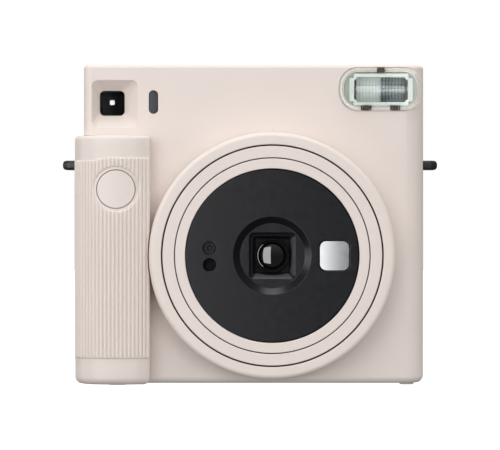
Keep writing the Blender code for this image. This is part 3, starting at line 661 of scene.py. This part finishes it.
def finder_funnel():
    """The cutter of the viewfinder's recess: a rounded square mouth that tapers to the window."""
    mouth, throat = rectangle(*FINDER_MOUTH), rectangle(*FINDER_THROAT)
    back, lip = FRONT + FINDER_DEPTH, 0.5
    layers = [(drawn_in(mouth, -lip), FRONT - 1)]
    for across, along in quarter()[:-1]:
        layers.append((drawn_in(mouth, -lip * along), FRONT + lip * across))
    layers += [(mouth, FRONT + lip), (throat, back - 0.25), (throat, back + 6)]
    return layered("finder_funnel", layers)


def rear_shell():
    shell = half_shell("rear_shell", REAR + 6, SEAM + GAP, FRONT - 9, REAR - WALL)
    ears = [
        box_plate(name, (57.8, REAR - 1, low), (60.3, REAR_HIGH.y, low + 5.2), 0.9, 0.3, "Z")
        for name, low in (("lower_ear", 4.5), ("upper_ear", 105.3))
    ]
    join(shell, *ears, foot("rear_foot_left", -49.5, 9, 19), foot("rear_foot_right", 57, 9, 19))
    bore = plate("pin_bore", circle(PIN.x, PIN.y, PIN_BORE, 32), 4.9, 110.1, facing="Z")
    low, high = corners("film_exit_flap")
    slot = rectangle((low.x + high.x) / 2, 13.0, high.x - low.x + 0.8, 3.6, 0.8)
    cut(shell, bore, flared("film_exit_way", slot, TOP, TOP - 8, 0.3, "Z"))
    counter = middle("counter_window")
    cut(
        shell,
        flared("door_way", rectangle(*FILM_OPENING), REAR, REAR - 6, 0.3),
        flared("eyepiece_way", rectangle(*EYEPIECE_OPENING), REAR, REAR - 6, 0.3),
        flared("counter_way", circle(counter.x, counter.z, 3.3, 64), REAR, REAR - 6, 0.5),
    )
    for node in COVER_SCREWS:
        seat = middle(node)
        cut(shell, flared("screw_seat", circle(seat.x, seat.z, 2.2, 48), REAR, REAR - 1.2, 0.3))
    finish(shell, BODY, "rear_cover")


# ---- grip


def grip_plan():
    """The grip's outline from above, starting on its left at the seam, as points (x, y)."""
    left, right, front = GRIP_LOW.x, GRIP_HIGH.x, GRIP_LOW.y
    outline = (
        (left, SEAM, 0), (left, front + 9.5, 6.0), (left + 2.3, front + 4.9, 8.0),
        (left + 7.8, front + 0.75, 9.0), (left + 15.6, front - 0.15, 40.0),
        (right - 4.6, front + 0.65, 9.0), (right, front + 3.1, 1.6), (right, FRONT - GAP, 0),
        (right - 2.0, FRONT - GAP, 0), (right - 2.0, SEAM, 0),
    )
    return filleted(outline, 12)


def walked(outline, places):
    """The points at these distances along an open outline, each with its outward unit normal."""
    made, start, index = [], 0.0, 0
    for place in places:
        while index < len(outline) - 2:
            length = math.dist(outline[index], outline[index + 1])
            if start + length >= place:
                break
            start, index = start + length, index + 1
        here, there = Vector(outline[index]), Vector(outline[index + 1])
        along = (there - here).normalized()
        made.append((here + along * (place - start), Vector((along.y, -along.x))))
    return made


def rib_height(from_groove, from_edge):
    """How far a rib stands out, from the distances past its groove and inside the ribbed band."""
    across = abs(2 * from_groove / RIB_PITCH - 1)
    past_end = max(0.0, 1 - from_edge / RIB_END)
    return RIB_HEIGHT * max(0.0, 1 - across**3 - past_end**3)


def stepped(start, end, size):
    count = max(1, round((end - start) / size))
    return [start + (end - start) * k / count for k in range(count)]


def rib_rows():
    """Heights of the grip's rows: close together only where the ribs end."""
    low = BUTTON.z - (BUTTON_CLEAR + RIB_PITCH)
    rows = stepped(BOTTOM + BOTTOM_ROUND, RIB_LOW, 3)
    rows += stepped(RIB_LOW, RIB_LOW + 1.3, 0.12) + stepped(RIB_LOW + 1.3, low, 6)
    rows += stepped(low, RIB_HIGH - 1.3, 0.16) + stepped(RIB_HIGH - 1.3, RIB_HIGH + RIB_RISE, 0.1)
    return rows + stepped(RIB_HIGH + RIB_RISE, GRIP_HIGH.z - GRIP_TOP_ROUND, 2)


def grip_shell():
    plan = grip_plan()
    whole = [0.0]
    for here, there in zip(plan, plan[1:]):
        whole.append(whole[-1] + math.dist(here, there))
    crown = min(range(len(plan)), key=lambda k: plan[k][1])
    groove = (whole[crown] + RIB_GROOVE_X - plan[crown][0]) % RIB_PITCH
    side = next(k for k, (x, y) in enumerate(plan) if y < FRONT - 1.0)
    first = groove + RIB_PITCH * math.ceil((whole[side] - groove) / RIB_PITCH)
    wall = max(k for k, (x, y) in enumerate(plan) if x < GRIP_HIGH.x - 0.2 and y < FRONT - 2)
    ribs = int((whole[wall] - first) / RIB_PITCH)
    ribbed = [first + RIB_PITCH * k / RIB_STEPS for k in range(ribs * RIB_STEPS + 1)]
    places = [place for place in whole if place < first - 0.05] + ribbed
    places += [place for place in whole if place > ribbed[-1] + 0.05]
    columns = walked(plan, places)
    base = [tuple(point) for point, _ in columns]
    rings = rings_of(rounding(base, BOTTOM, BOTTOM_ROUND, 1)[::-1], "Z")
    for z in rib_rows()[1:]:
        ring = []
        for place, (point, normal) in zip(places, columns):
            rise = 0.0
            if first <= place <= ribbed[-1]:
                share = (point.x - GRIP_LOW.x - RIB_RISE_START) / RIB_RISE_LENGTH
                top = RIB_HIGH + RIB_RISE * min(1.0, max(0.0, share))
                from_button = math.hypot(point.x - BUTTON.x, z - BUTTON.z) - BUTTON_CLEAR
                if point.y > GRIP_LOW.y + 3:
                    from_button = RIB_PITCH
                from_groove = (place - first) % RIB_PITCH
                rise = rib_height(from_groove, max(0.0, min(z - RIB_LOW, top - z, from_button)))
            ring.append((*(point + normal * rise), z))
        rings.append(ring)
    rings += rings_of(rounding(base, GRIP_HIGH.z, GRIP_TOP_ROUND, -1), "Z")
    shell = loft("grip_shell", rings)
    cut_grip(shell)
    finish(shell, BODY, "grip_cover")


def cut_grip(shell):
    left, right, front = GRIP_LOW.x, GRIP_HIGH.x, GRIP_LOW.y
    inner = (
        (left + WALL, 2.4, 0), (left + WALL, front + 10.1, 3.0), (left + 3.9, front + 6.0, 2.0),
        (left + 7.9, front + WALL, 1.0), (right - 3.9, front + WALL, 0.8),
        (right - 2.3, front + 3.9, 1.0), (right - 2.3, front + 12.5, 0),
        (right + 3.0, front + 12.5, 0), (right + 3.0, SEAM + 2, 0), (left + 5.0, SEAM + 2, 0),
        (left + 5.0, 2.4, 0),
    )
    room = plate("grip_room", filleted(inner), BOTTOM + WALL, GRIP_HIGH.z - WALL, facing="Z")
    hole = circle(BUTTON.x, BUTTON.z, BUTTON_RADIUS + BUTTON_GAP)
    low, high = corners("battery_cover")
    centre = ((low.y + high.y + 0.5) / 2, (low.z + high.z) / 2)
    door = rectangle(*centre, high.y - low.y + 1.1, high.z - low.z + 0.6, 0.6)
    dial_room = [(DIAL_RADIUS + 0.5, front - 5), (DIAL_RADIUS + 0.5, FRONT + 4)]
    cut(
        shell,
        room,
        flared("button_way", hole, front, front + 5, 0.2),
        flared("battery_way", door, left, left + 4, 0.15, "X"),
        lug_slot("left_lug_way", -1),
        turned("dial_room", dial_room, *AXIS, 192),
    )
    join(shell, foot("grip_foot", -49.5, -14, 1))


def battery_door():
    low, high = corners("battery_cover")
    door = box_plate("battery_door", low, high, 0.5, 0.25, "X")
    first, size = ((low.y + high.y) / 2, low.z + 8), (9.0, 0.7, 0.34)
    cut(door, *grooves(6, 1.6, first, size, low.x - 1, low.x + 0.4, 0, 0.3, facing="X"))
    finish(door, BODY, "battery_cover")


def release_button():
    front, back = GRIP_LOW.y, corners("shutter_button")[1].y
    rim = filleted(((TIP, front, 0), (BUTTON_RADIUS, front, 0.3), (BUTTON_RADIUS, front + 2.3, 0)))
    flange = [(7.8, front + 2.3), (7.8, front + 3.1), (2.0, front + 3.1), (2.0, back), (TIP, back)]
    button = turned("release_button", rim + flange, BUTTON.x, BUTTON.z, 96)
    face = drawn_in(grip_plan(), 0.04)
    face = plate("button_face", face, BUTTON.z - 12, BUTTON.z + 12, facing="Z")
    finish(combined(button, "INTERSECT", face), BODY, "shutter_button")


# ---- lens group


def ring_piece(name, profile, node, material):
    """A ring of the lens group, from the corners of its section: radius, y and corner radius."""
    ring = turned(name, filleted(profile, 6), *AXIS, 192, hollow=True)
    finish(ring, material, node)


def lens_rings():
    """The turning dial and the two tubes that slide in it."""
    back = FRONT - 0.4
    dial = (
        (DIAL_BORE, LENS_FRONT, 0.3), (DIAL_RADIUS, LENS_FRONT, 1.7), (DIAL_RADIUS, back, 0.3),
        (HUB_RADIUS, back, 0), (HUB_RADIUS, HUB_BACK, 0.2), (42.7, HUB_BACK, 0.2), (42.7, -25.8, 0),
        (DIAL_BORE, -25.8, 0),
    )
    ring_piece("turning_dial", dial, "lens_dial", DIAL)
    low, high = corners("outer_barrel")
    wall, lip_back = OUTER_RADIUS - 1.6, -26.2
    outer = (
        (OUTER_LIP, low.y, 0.28), (OUTER_RADIUS, low.y, 0.3), (OUTER_RADIUS, high.y, 0.3),
        (wall, high.y, 0.3), (wall, lip_back, 0), (OUTER_LIP, lip_back, 0),
    )
    ring_piece("outer_tube", outer, "outer_barrel", OUTER)
    low, high = corners("inner_barrel")
    wall = INNER_RADIUS - 1.6
    inner = (
        (INNER_LIP, low.y, 0.28), (INNER_RADIUS, low.y, 0.28), (INNER_RADIUS, high.y, 0.3),
        (wall, high.y, 0.3), (wall, -20.5, 0), (8.0, -20.5, 0), (8.0, -22.0, 0),
        (INNER_LIP, -22.0, 0),
    )
    ring_piece("inner_tube", inner, "inner_barrel", INNER)


def lens_face():
    """The black disc: a dished ring round a square well, a mirror seat and two sensor holes."""
    low, high = corners("lens_plate")
    front, floor, back = low.y, low.y + 1.9, high.y
    profile = (
        (TIP, floor, 0), (12.0, floor, 0.15), (14.4, front, 0.25), (PLATE_RADIUS, front, 0.3),
        (PLATE_RADIUS, front + 2.5, 0), (16.0, front + 2.5, 0), (16.0, back, 0), (TIP, back, 0),
    )
    face = turned("lens_face", filleted(profile, 5), *AXIS, 192)
    # The well's steps: side, corner radius, y
    steps = (
        (17.2, 1.7, floor - 0.4), (17.2, 1.7, floor), (15.3, 1.2, floor + 0.8),
        (15.0, 1.1, floor + 0.8), (12.8, 0.8, floor + 1.75), (12.7, 0.8, floor + 1.85),
        (12.7, 0.8, back + 1),
    )
    steps = [(rectangle(*AXIS, side, side, r), y) for side, r, y in steps]
    well = layered("lens_well", steps)
    seat = drawn_in(window_outline(corners("selfie_mirror"), MIRROR_CORNER), -0.35)
    sensors = [middle(n) for n in ("light_sensor_window", "distance_sensor_window")]
    holes = [
        flared("sensor_hole", circle(s.x, s.z, 2.45, 48), front, front + 2.2, 0.2) for s in sensors
    ]
    cut(face, well, flared("mirror_seat", seat, front, front + 1.3, 0.25), *holes)
    finish(face, BLACK, "lens_plate")


def bulged(name, outline, low, high, crown, apex=(0.0, 0.0), steps=14):
    """A plate whose front is part of a paraboloid, furthest out at an apex off its middle."""
    outline = divided(outline, 0.7)
    u = sum(point[0] for point in outline) / len(outline) + apex[0]
    v = sum(point[1] for point in outline) / len(outline) + apex[1]
    reach = max(math.dist((u, v), point) for point in outline)
    rings = [[(a, high, b) for a, b in outline]]
    for step in range(steps + 1):
        share = 1 - step / (steps + 0.02)
        ring = [(u + (a - u) * share, v + (b - v) * share) for a, b in outline]
        depths = [crown * (math.dist((u, v), point) / reach) ** 2 for point in ring]
        rings.append([(a, low + depth, b) for (a, b), depth in zip(ring, depths)])
    return loft(name, rings)


def face_details():
    low, high = corners("selfie_mirror")
    outline = window_outline((low, high), MIRROR_CORNER)
    mirror = bulged("convex_mirror", outline, low.y + 0.05, high.y, 0.85, (4.0, -3.4))
    finish(mirror, CHROME, "selfie_mirror")
    front = corners("lens_plate")[0].y
    upper, lower = middle("light_sensor_window"), middle("distance_sensor_window")
    ringed = (
        (TIP, 1.3, 0), (0.5, 1.0, 0.2), (0.9, 1.5, 0), (1.25, 1.5, 0), (1.35, 0.7, 0.1),
        (1.75, 0.7, 0.1), (1.85, 1.6, 0), (2.3, 1.6, 0), (2.3, 2.1, 0), (TIP, 2.1, 0),
    )
    ringed = filleted([(radius, front + depth, corner) for radius, depth, corner in ringed], 4)
    ringed = turned("light_sensor", ringed, upper.x, upper.z, 64)
    finish(ringed, BLACK, "light_sensor_window")
    dished = ((TIP, 1.9), (1.6, 1.75), (2.3, 1.2), (2.3, 2.1), (TIP, 2.1))
    dished = [(radius, front + depth) for radius, depth in dished]
    dished = turned("distance_sensor", dished, lower.x, lower.z, 64)
    finish(dished, DEEP_BLACK, "distance_sensor_window")


def lens_stack():
    low, high = corners("lens_mount")
    mount = plate("lens_seat", window_outline((low, high), 0.8), low.y, high.y)
    bore = 5.75
    cut(mount, turned("seat_bore", [(bore, low.y - 2), (bore, high.y + 2)], *AXIS, 96))
    rim = (
        (bore, low.y - 0.9, 0.15), (6.15, low.y - 0.9, 0.2), (6.5, low.y + 0.4, 0),
        (bore, low.y + 0.4, 0),
    )
    rim = turned("seat_rim", filleted(rim), *AXIS, 96, hollow=True)
    finish(join(mount, rim), DEEP_BLACK, "lens_mount")
    low, high = corners("front_lens")
    dome = [
        (r, low.y + DOME_RADIUS - math.sqrt(DOME_RADIUS**2 - r * r))
        for r in stepped(TIP, DOME_EDGE, 0.2)
    ]
    back = [(DOME_EDGE, low.y + 1.66), (5.6, low.y + 1.7), (5.6, high.y - 0.3), (4.2, high.y)]
    lens = turned("front_element", [*dome, *back, (TIP, high.y)], *AXIS, 128)
    finish(lens, PAINTED_DARK_GLASS, "front_lens", sharp_angle=20)
    low, high = corners("rear_lens")
    radius, crown, steps = 6.4, 0.9, 16
    spread = [max(TIP, radius * k / steps) for k in range(steps + 1)]
    face = [(r, low.y + crown * (k / steps) ** 2) for k, r in enumerate(spread)]
    bulge = [(r, high.y - crown * (r / radius) ** 2) for r in reversed(spread)]
    finish(turned("rear_element", face + bulge, *AXIS, 96), GLASS, "rear_lens")


# ---- windows and the flash


def flash_unit():
    """A clear window clipped over a pale tray that holds a white frame, the reflector and tube."""
    front = corners("flash_cover")[0].y
    outer, skirt = flash_outline(0.0), flash_outline(1.15)
    layers = [(skirt, front + 1.1), (skirt, FLASH_SEAT), (outer, FLASH_SEAT)]
    cover = layered("flash_window", layers + rounding(outer, front, 0.8, 1))
    pockets, clips = [], []
    for index, (x, side, width) in enumerate(FLASH_CLIPS):
        z = FLASH.z + side * (FLASH_SIZE.z / 2 - 1.0)
        for pile, grow, depth in ((pockets, 0.08, -1.0), (clips, 0.0, 0.3)):
            low = (x - width / 2 - grow, front + depth, z - 0.72 - grow)
            high = (x + width / 2 + grow, FLASH_SEAT + 3 * grow, z + 0.72 + grow)
            pile.append(box_plate(f"clip_{index}", low, high, 0.1, 0.04))
    finish(cut(cover, *pockets), CLEAR, "flash_cover")
    finish(gathered("flash_clips", clips), TAB, "flash_cover", stands_for=False)
    flash_reflector()


def notched(width, height, tab_width, tab_height):
    """A rectangle with a shorter tab at each end."""
    w, h, tw, th = width / 2, height / 2, tab_width / 2, tab_height / 2
    points = ((-tw, -th), (-w, -th), (-w, -h), (w, -h), (w, -th), (tw, -th))
    points += ((tw, th), (w, th), (w, h), (-w, h), (-w, th), (-tw, th))
    radii = (0.5, 0.2, 0.5, 0.5, 0.2, 0.5) * 2
    points = [(REFLECTOR_X + u, REFLECTOR_Z + v) for u, v in points]
    return filleted([(*point, radius) for point, radius in zip(points, radii)], 3)


def flash_reflector():
    tray_outer, tray_inner = flash_outline(1.75), flash_outline(2.3)
    tray = [(tray_inner, -15.0), (tray_inner, FLASH_SEAT + 0.3), (tray_outer, FLASH_SEAT + 0.3)]
    tray = layered("reflector_tray", [*tray, (tray_outer, -13.6)])
    outer, inner = notched(20.5, 12.0, 23.5, 8.7), notched(18.2, 9.2, 20.0, 7.4)
    well = [(drawn_in(inner, -0.1), -17), (drawn_in(inner, -0.1), -11)]
    finish(cut(tray, layered("tray_well", well)), TRAY, "flash_reflector", stands_for=False)
    front, back = corners("flash_reflector")[0].y, -12.5
    rim = [(inner, back), (inner, front + 0.2), (drawn_in(inner, -0.2), front)]
    rim += [(drawn_in(outer, 0.2), front), (outer, front + 0.2), (outer, back)]
    rim = layered("reflector_rim", rim, hollow=True)
    finish(rim, FROST, "flash_reflector", stands_for=False)
    finish(trough("reflector_trough"), reflector_foil(), "flash_reflector")
    low, high = corners("flash_tube")
    centre = middle("flash_tube")
    end = [(TIP, 0.0), (0.7, 0.1), (1.1, 0.6)]
    profile = [(r, low.x + a) for r, a in end] + [(r, high.x - a) for r, a in reversed(end)]
    tube = turned("xenon_tube", profile, centre.y, centre.z, 40, facing="X")
    finish(tube, TUBE, "flash_tube")


def trough(name):
    """A bright channel behind the tube. Its two halves are turned slightly apart."""
    front, half, deep, steps = -14.9, 4.5, 3.6, 12
    profile = [
        (half * k / steps, front + deep * (1 - (k / steps) ** 2)) for k in range(-steps, steps + 1)
    ]
    profile += [(half, front + deep + 1.2), (-half, front + deep + 1.2)]
    rings = [
        [(REFLECTOR_X + end, y + shift, REFLECTOR_Z + v) for v, y in profile]
        for end, shift in ((-9.2, 0.9), (0.0, 0.0), (9.2, 0.9))
    ]
    return loft(name, rings)


def finder():
    """A black tube with a small mask behind its front window, and a rubber eyepiece frame."""
    low, high = corners("viewfinder_tube")
    centre, outer = middle("viewfinder_tube"), extent("viewfinder_tube").x
    u, v = centre.x, centre.z
    outside = rectangle(u, v, outer, outer, 1.4)
    bore = rectangle(u, v, 10.2, 10.2, 1.0)
    mask_u, mask_v = u - 0.95, v + 1.15
    frames = [
        (rectangle(mask_u, mask_v, side, side, 0.2 + side / 20), y)
        for side, y in ((7.4, -4.0), (7.2, -1.0), (3.5, -0.9), (3.3, 1.0), (1.75, 1.1), (1.75, 2.0))
    ]
    walls = [(bore, low.y), (outside, low.y), (outside, high.y), (bore, high.y), (bore, 4.0)]
    tube = layered("finder_tube", [*walls, *reversed(frames), (bore, -4.1)], hollow=True)
    finish(tube, DEEP_BLACK, "viewfinder_tube")
    low, _ = corners("viewfinder_front_lens")
    pane = rectangle(u, v, FINDER_PANE, FINDER_PANE, 0.9)
    front = bulged("finder_front_element", pane, low.y, low.y + 1.5, 0.5)
    finish(front, COATED, "viewfinder_front_lens")
    _, high = corners("viewfinder_rear_lens")
    rear = plate("finder_rear_element", pane, high.y + 0.3, high.y + 1.6, 0.15, 0.15)
    finish(rear, COATED, "viewfinder_rear_lens")
    low, high = corners("eyepiece_frame")
    rim = window_outline((low, high), 2.5)
    opening = rectangle(u, v, FINDER_PANE, FINDER_PANE, 1.2)
    layers = [(opening, low.y), (opening, high.y - 1.0), (drawn_in(opening, -0.8), high.y - 0.2)]
    layers += [(drawn_in(opening, -1.2), high.y), (drawn_in(rim, 1.2), high.y)]
    layers += [(drawn_in(rim, 0.35), high.y - 0.35), (rim, high.y - 1.2), (rim, low.y)]
    finish(layered("eyepiece_rubber", layers, hollow=True), RUBBER, "eyepiece_frame")


def small_windows():
    low, high = corners("light_receiver_window")
    pane = bulged("receiver_pane", window_outline((low, high)), low.y + 0.15, high.y, 0.1)
    finish(pane, WINDOW, "light_receiver_window")
    counter, (low, high) = middle("counter_window"), corners("counter_window")
    lens = [(2.95, high.y - 0.5), (2.95, low.y), (TIP, low.y)]
    cap = [(r, high.y - 0.5 * (r / 2.95) ** 2) for r in (TIP, 0.8, 1.6, 2.3, 2.7)]
    finish(turned("counter_pane", cap + lens, counter.x, counter.z, 64), CLEAR, "counter_window")


# ---- lugs, door, small parts


def strap_lug(name, node):
    """A flat loop of round-edged bar, half sunk into the housing."""
    low, high = corners(node)
    half_thick, bar = (high.z - low.z) / 2, 1.55
    centre = middle(node)
    width, depth = high.x - low.x - 2 * bar, high.y - low.y - 2 * bar
    path = rectangle(centre.x, centre.y, width, depth, 1.3, 10)

    def squared(share):
        return math.copysign(abs(share) ** 0.8, share)

    section = [
        (bar * squared(math.cos(a)), half_thick * squared(math.sin(a))) for a in turn_angles(28)
    ]
    rings = []
    for index, (x, y) in enumerate(path):
        along = Vector(path[(index + 1) % len(path)]) - Vector(path[index - 1])
        out = Vector((along.y, -along.x)).normalized()
        rings.append([(x + out.x * r, y + out.y * r, centre.z + h) for r, h in section])
    finish(loft(name, rings, endless=True), LUG, node, sharp_angle=50)


def strap_lugs():
    for side in ("left", "right"):
        strap_lug(f"lug_{side}", f"strap_lug_{side}")


def back_door():
    low, high = corners("back_door")
    middle_x, width = (low.x + DOOR_RIGHT) / 2, DOOR_RIGHT - low.x
    outline = rectangle(middle_x, (low.z + high.z) / 2, width, high.z - low.z, 2.0)
    door = plate("film_door_panel", outline, low.y, DOOR_FACE, 0.1, 0.7)
    knuckle = plate("knuckle", circle(PIN.x, PIN.y, 1.3, 40), 10.0, 105.0, 0.1, 0.1, "Z")
    web = box_plate("knuckle_web", (56.0, 26.05, 10.45), (59.0, 27.85, 104.55), 0.3, 0.1, "Z")
    join(door, knuckle, web)
    window, size = middle("film_window"), extent("film_window")
    hole = rectangle(window.x, window.z, size.x + 0.5, size.z + 0.5, 1.4)
    panel = rectangle(middle_x + 1.5, 57.5, 78.0, 92.0, 3.0)
    cut(
        door,
        plate("pin_way", circle(PIN.x, PIN.y, PIN_BORE, 32), 2, 113, facing="Z"),
        flared("window_way", hole, DOOR_FACE, low.y - 2, 0.7),
        flared("latch_way", rectangle(*LATCH_POCKET), DOOR_FACE, 26.6, 0.3),
        flared("panel_recess", panel, DOOR_FACE, DOOR_FACE - 0.3, 0.2),
    )
    finish(door, BODY, "back_door")
    pane = rectangle(window.x, window.z, size.x, size.z, 1.2)
    low, high = corners("film_window")
    finish(plate("door_pane", pane, low.y, high.y, 0.2, 0.2), CLEAR, "film_window")
    low, high = corners("door_latch")
    latch = box_plate("latch_slider", low, high, 0.8, 0.3)
    first, size = (LATCH_POCKET[0], 56.0), (4.0, 0.6, 0.28)
    cut(latch, *grooves(5, 1.5, first, size, high.y - 0.5, high.y + 1))
    finish(latch, BODY, "door_latch")


def exit_flap():
    low, high = corners("film_exit_flap")
    flap = box_plate("exit_flap", low, high, 0.4, 0.15, "Z")
    first, size = ((low.x + high.x) / 2, 12.1), (high.x - low.x - 3, 0.3, 0.12)
    cut(flap, *grooves(3, 0.75, first, size, high.z - 0.25, high.z + 1, facing="Z"))
    finish(flap, BLACK, "film_exit_flap")


def screws():
    """Screw heads with a cross slot, which narrows as it gets deeper."""
    for index, node in enumerate(COVER_SCREWS, 1):
        low, high = corners(node)
        centre = middle(node)
        head = [(TIP, low.y), (1.85, low.y), (1.85, high.y - 0.3), (1.6, high.y - 0.08)]
        head.append((TIP, high.y))
        screw = turned(f"screw_head_{index}", head, centre.x, centre.z, 48)
        arms = []
        for wide, tall in ((2.2, 0.42), (0.42, 2.2)):
            ends = ((0.5, high.y - 0.7), (1.0, high.y + 0.1))
            layers = [
                (rectangle(centre.x, centre.z, wide * share, tall * share, 0.05), y)
                for share, y in ends
            ]
            arms.append(layered("screw_slot", layers))
        finish(cut(screw, *arms), STEEL, node)


def counter_dial():
    """The frame counter's disc, with a raised tick for each picture left."""
    low, high = corners("counter_disc")
    centre, radius = middle("counter_disc"), extent("counter_disc").x / 2
    disc = [(TIP, low.y), (radius, low.y), (radius, low.y + 1.0), (1.4, low.y + 1.0)]
    disc += [(1.4, high.y), (TIP, high.y)]
    dial = turned("counter_dial", disc, centre.x, centre.z, 96)
    ticks = []
    for k in range(11):
        angle = math.pi / 2 + math.radians(30) * k
        along = Vector((math.cos(angle), math.sin(angle)))
        across = Vector((-along.y, along.x)) * (0.45 if k % 5 == 0 else 0.22)
        inner, outer = along * (radius - 4.2), along * (radius - 2.0)
        tick = (inner - across, outer - across, outer + across, inner + across)
        tick = [tuple(point + Vector((centre.x, centre.z))) for point in tick]
        ticks.append(plate(f"tick_{k}", tick, low.y + 1.02, low.y + 1.2))
    finish(dial, NYLON, "counter_disc")
    finish(gathered("counter_ticks", ticks), DEEP_BLACK, "counter_disc", stands_for=False)


def batteries():
    """Two cells, head to tail, each with a shoulder and a raised contact at one end."""
    for name, node, up in (("cell_lower", "battery_lower", 1), ("cell_upper", "battery_upper", -1)):
        low, high = corners(node)
        centre, radius = middle(node), extent(node).x / 2
        start, end = (low.z, high.z) if up > 0 else (high.z, low.z)
        base = ((TIP, 0.0), (radius - 1.2, 0.0), (radius - 0.4, 0.2), (radius, 0.7))
        head = ((radius, 1.6), (radius - 0.5, 1.1), (3.0, 1.1), (2.8, 0.2), (2.6, 0.0), (TIP, 0.0))
        profile = [(r, start + up * rise) for r, rise in base]
        profile += [(r, end - up * drop) for r, drop in head]
        cell = turned(name, profile, centre.x, centre.y, 64, facing="Z")
        finish(cell, battery_jacket(), node)


def inner_parts():
    """Carried-over CAD nodes: their shape is right, and they get the real material's finish."""
    finishes = {
        INNER_BLACK: "film_chamber battery_holder barrel_guide shutter_switch",
        DEEP_BLACK: "shutter_plate shutter_cover shutter_blade_lower shutter_blade_upper",
        BLACK: "flash_capacitor",
        RUBBER: "drive_roller",
        STEEL: "pinch_roller roller_frame film_claw pack_pressure_plate eject_motor"
        " shutter_solenoid door_hinge_pin",
        BRASS: "battery_contact_lower battery_contact_upper",
        NYLON: "drive_gear idler_gear motor_pinion",
        circuit_board(): "main_board",
    }
    for material, nodes in finishes.items():
        for node in nodes.split():
            mesh = frame["nodes"][node].data
            mesh.materials.clear()
            mesh.materials.append(material)


# ---- floor and lights


def stage():
    reach = 2.5
    ends = ((-reach, -reach), (reach, -reach), (reach, reach), (-reach, reach))
    mesh = bpy.data.meshes.new("floor")
    mesh.from_pydata([(x, y, 0) for x, y in ends], [], [(0, 1, 2, 3)])
    floor = new_object("floor", mesh)
    made = Surface("floor_paper", Emission_Strength=1.0, Emission_Color=(1, 1, 1, 1))
    made.set("Base Color", made.colour_between(made.noise(4, 2), (0.9,) * 3, (0.93,) * 3))
    made.shader.inputs["Roughness"].default_value = 0.9
    mesh.materials.append(made.material)
    floor.visible_glossy = floor.visible_diffuse = False


def area_light(name, place, size, power, target=(0, 0, 0.06)):
    """A rectangle of light. Places and sizes are in metres, and the power is in watts."""
    lamp = bpy.data.lights.new(name, "AREA")
    lamp.shape, lamp.size, lamp.size_y, lamp.energy = "RECTANGLE", size[0], size[1], power
    light = new_object(name, lamp)
    light.location = place
    light.rotation_euler = (Vector(target) - Vector(place)).to_track_quat("-Z", "Y").to_euler()
    return light


def lights():
    """A bright light overhead, a tall soft panel at the front left, and weaker fill all round."""
    area_light("top_softbox", (0.0, -0.25, 1.35), (0.7, 0.7), 5.3)
    area_light("left_softbox", (-1.3, -0.35, 0.15), (0.7, 0.7), 4.0)
    panel = area_light("front_panel", (-0.62, -1.15, 0.1), (0.96, 2.0), 20, (-0.62, 0, 0.1))
    panel.visible_diffuse = False
    area_light("front_left", (-0.6, -1.2, 0.3), (0.8, 0.8), 3.2).visible_glossy = False
    area_light("front_right", (0.5, -1.3, 0.2), (0.8, 0.8), 5.4).visible_glossy = False
    bpy.context.scene.world = bpy.data.worlds.new("studio")
    sky = Nodes(bpy.context.scene.world)
    up = sky.node("SeparateXYZ", {"Vector": sky.node("TexCoord").outputs["Generated"]}).outputs["Z"]
    up = sky.maths("MAXIMUM", up)
    links = {0: up, 1: GLOW_RISE, 2: GLOW_LEVEL}
    glow = sky.node("Math", links, operation="MULTIPLY_ADD").outputs[0]
    path = sky.node("LightPath").outputs
    bounced = sky.maths("ADD", path["Diffuse Depth"], path["Glossy Depth"])
    through = sky.maths("LESS_THAN", bounced, 0.5)
    through = sky.maths("MULTIPLY", path["Is Transmission Ray"], through)
    seen = sky.maths("MAXIMUM", path["Is Camera Ray"], through)
    dimmed = sky.maths("MULTIPLY", path["Is Glossy Ray"], GLOSSY_CUT)
    glow = sky.maths("MULTIPLY", glow, sky.maths("SUBTRACT", 1.0, dimmed))
    background = sky.tree.nodes["Background"]
    background.inputs["Color"].default_value = (1, 1, 1, 1)
    sky.tree.links.new(sky.maths("MAXIMUM", glow, seen), background.inputs["Strength"])
    bpy.context.scene.view_settings.view_transform = "Standard"


def camera():
    """Square on to the front, level with the middle of the object and one metre from its front."""
    data = bpy.data.cameras.new("view")
    data.sensor_width, data.lens = VIEW_SENSOR_MM, VIEW_LENS_MM
    viewer = new_object("view", data)
    viewer.location = (0, FRONT * MM - VIEW_DISTANCE, VIEW_HEIGHT)
    viewer.rotation_euler = (math.pi / 2, 0, 0)
    bpy.context.scene.camera = viewer


for build in (
    front_shell, rear_shell, grip_shell, battery_door, release_button, lens_rings, lens_face,
    face_details, lens_stack, flash_unit, finder, small_windows, strap_lugs, back_door, exit_flap,
    screws, counter_dial, batteries, inner_parts, stage, lights, camera,
):
    build()
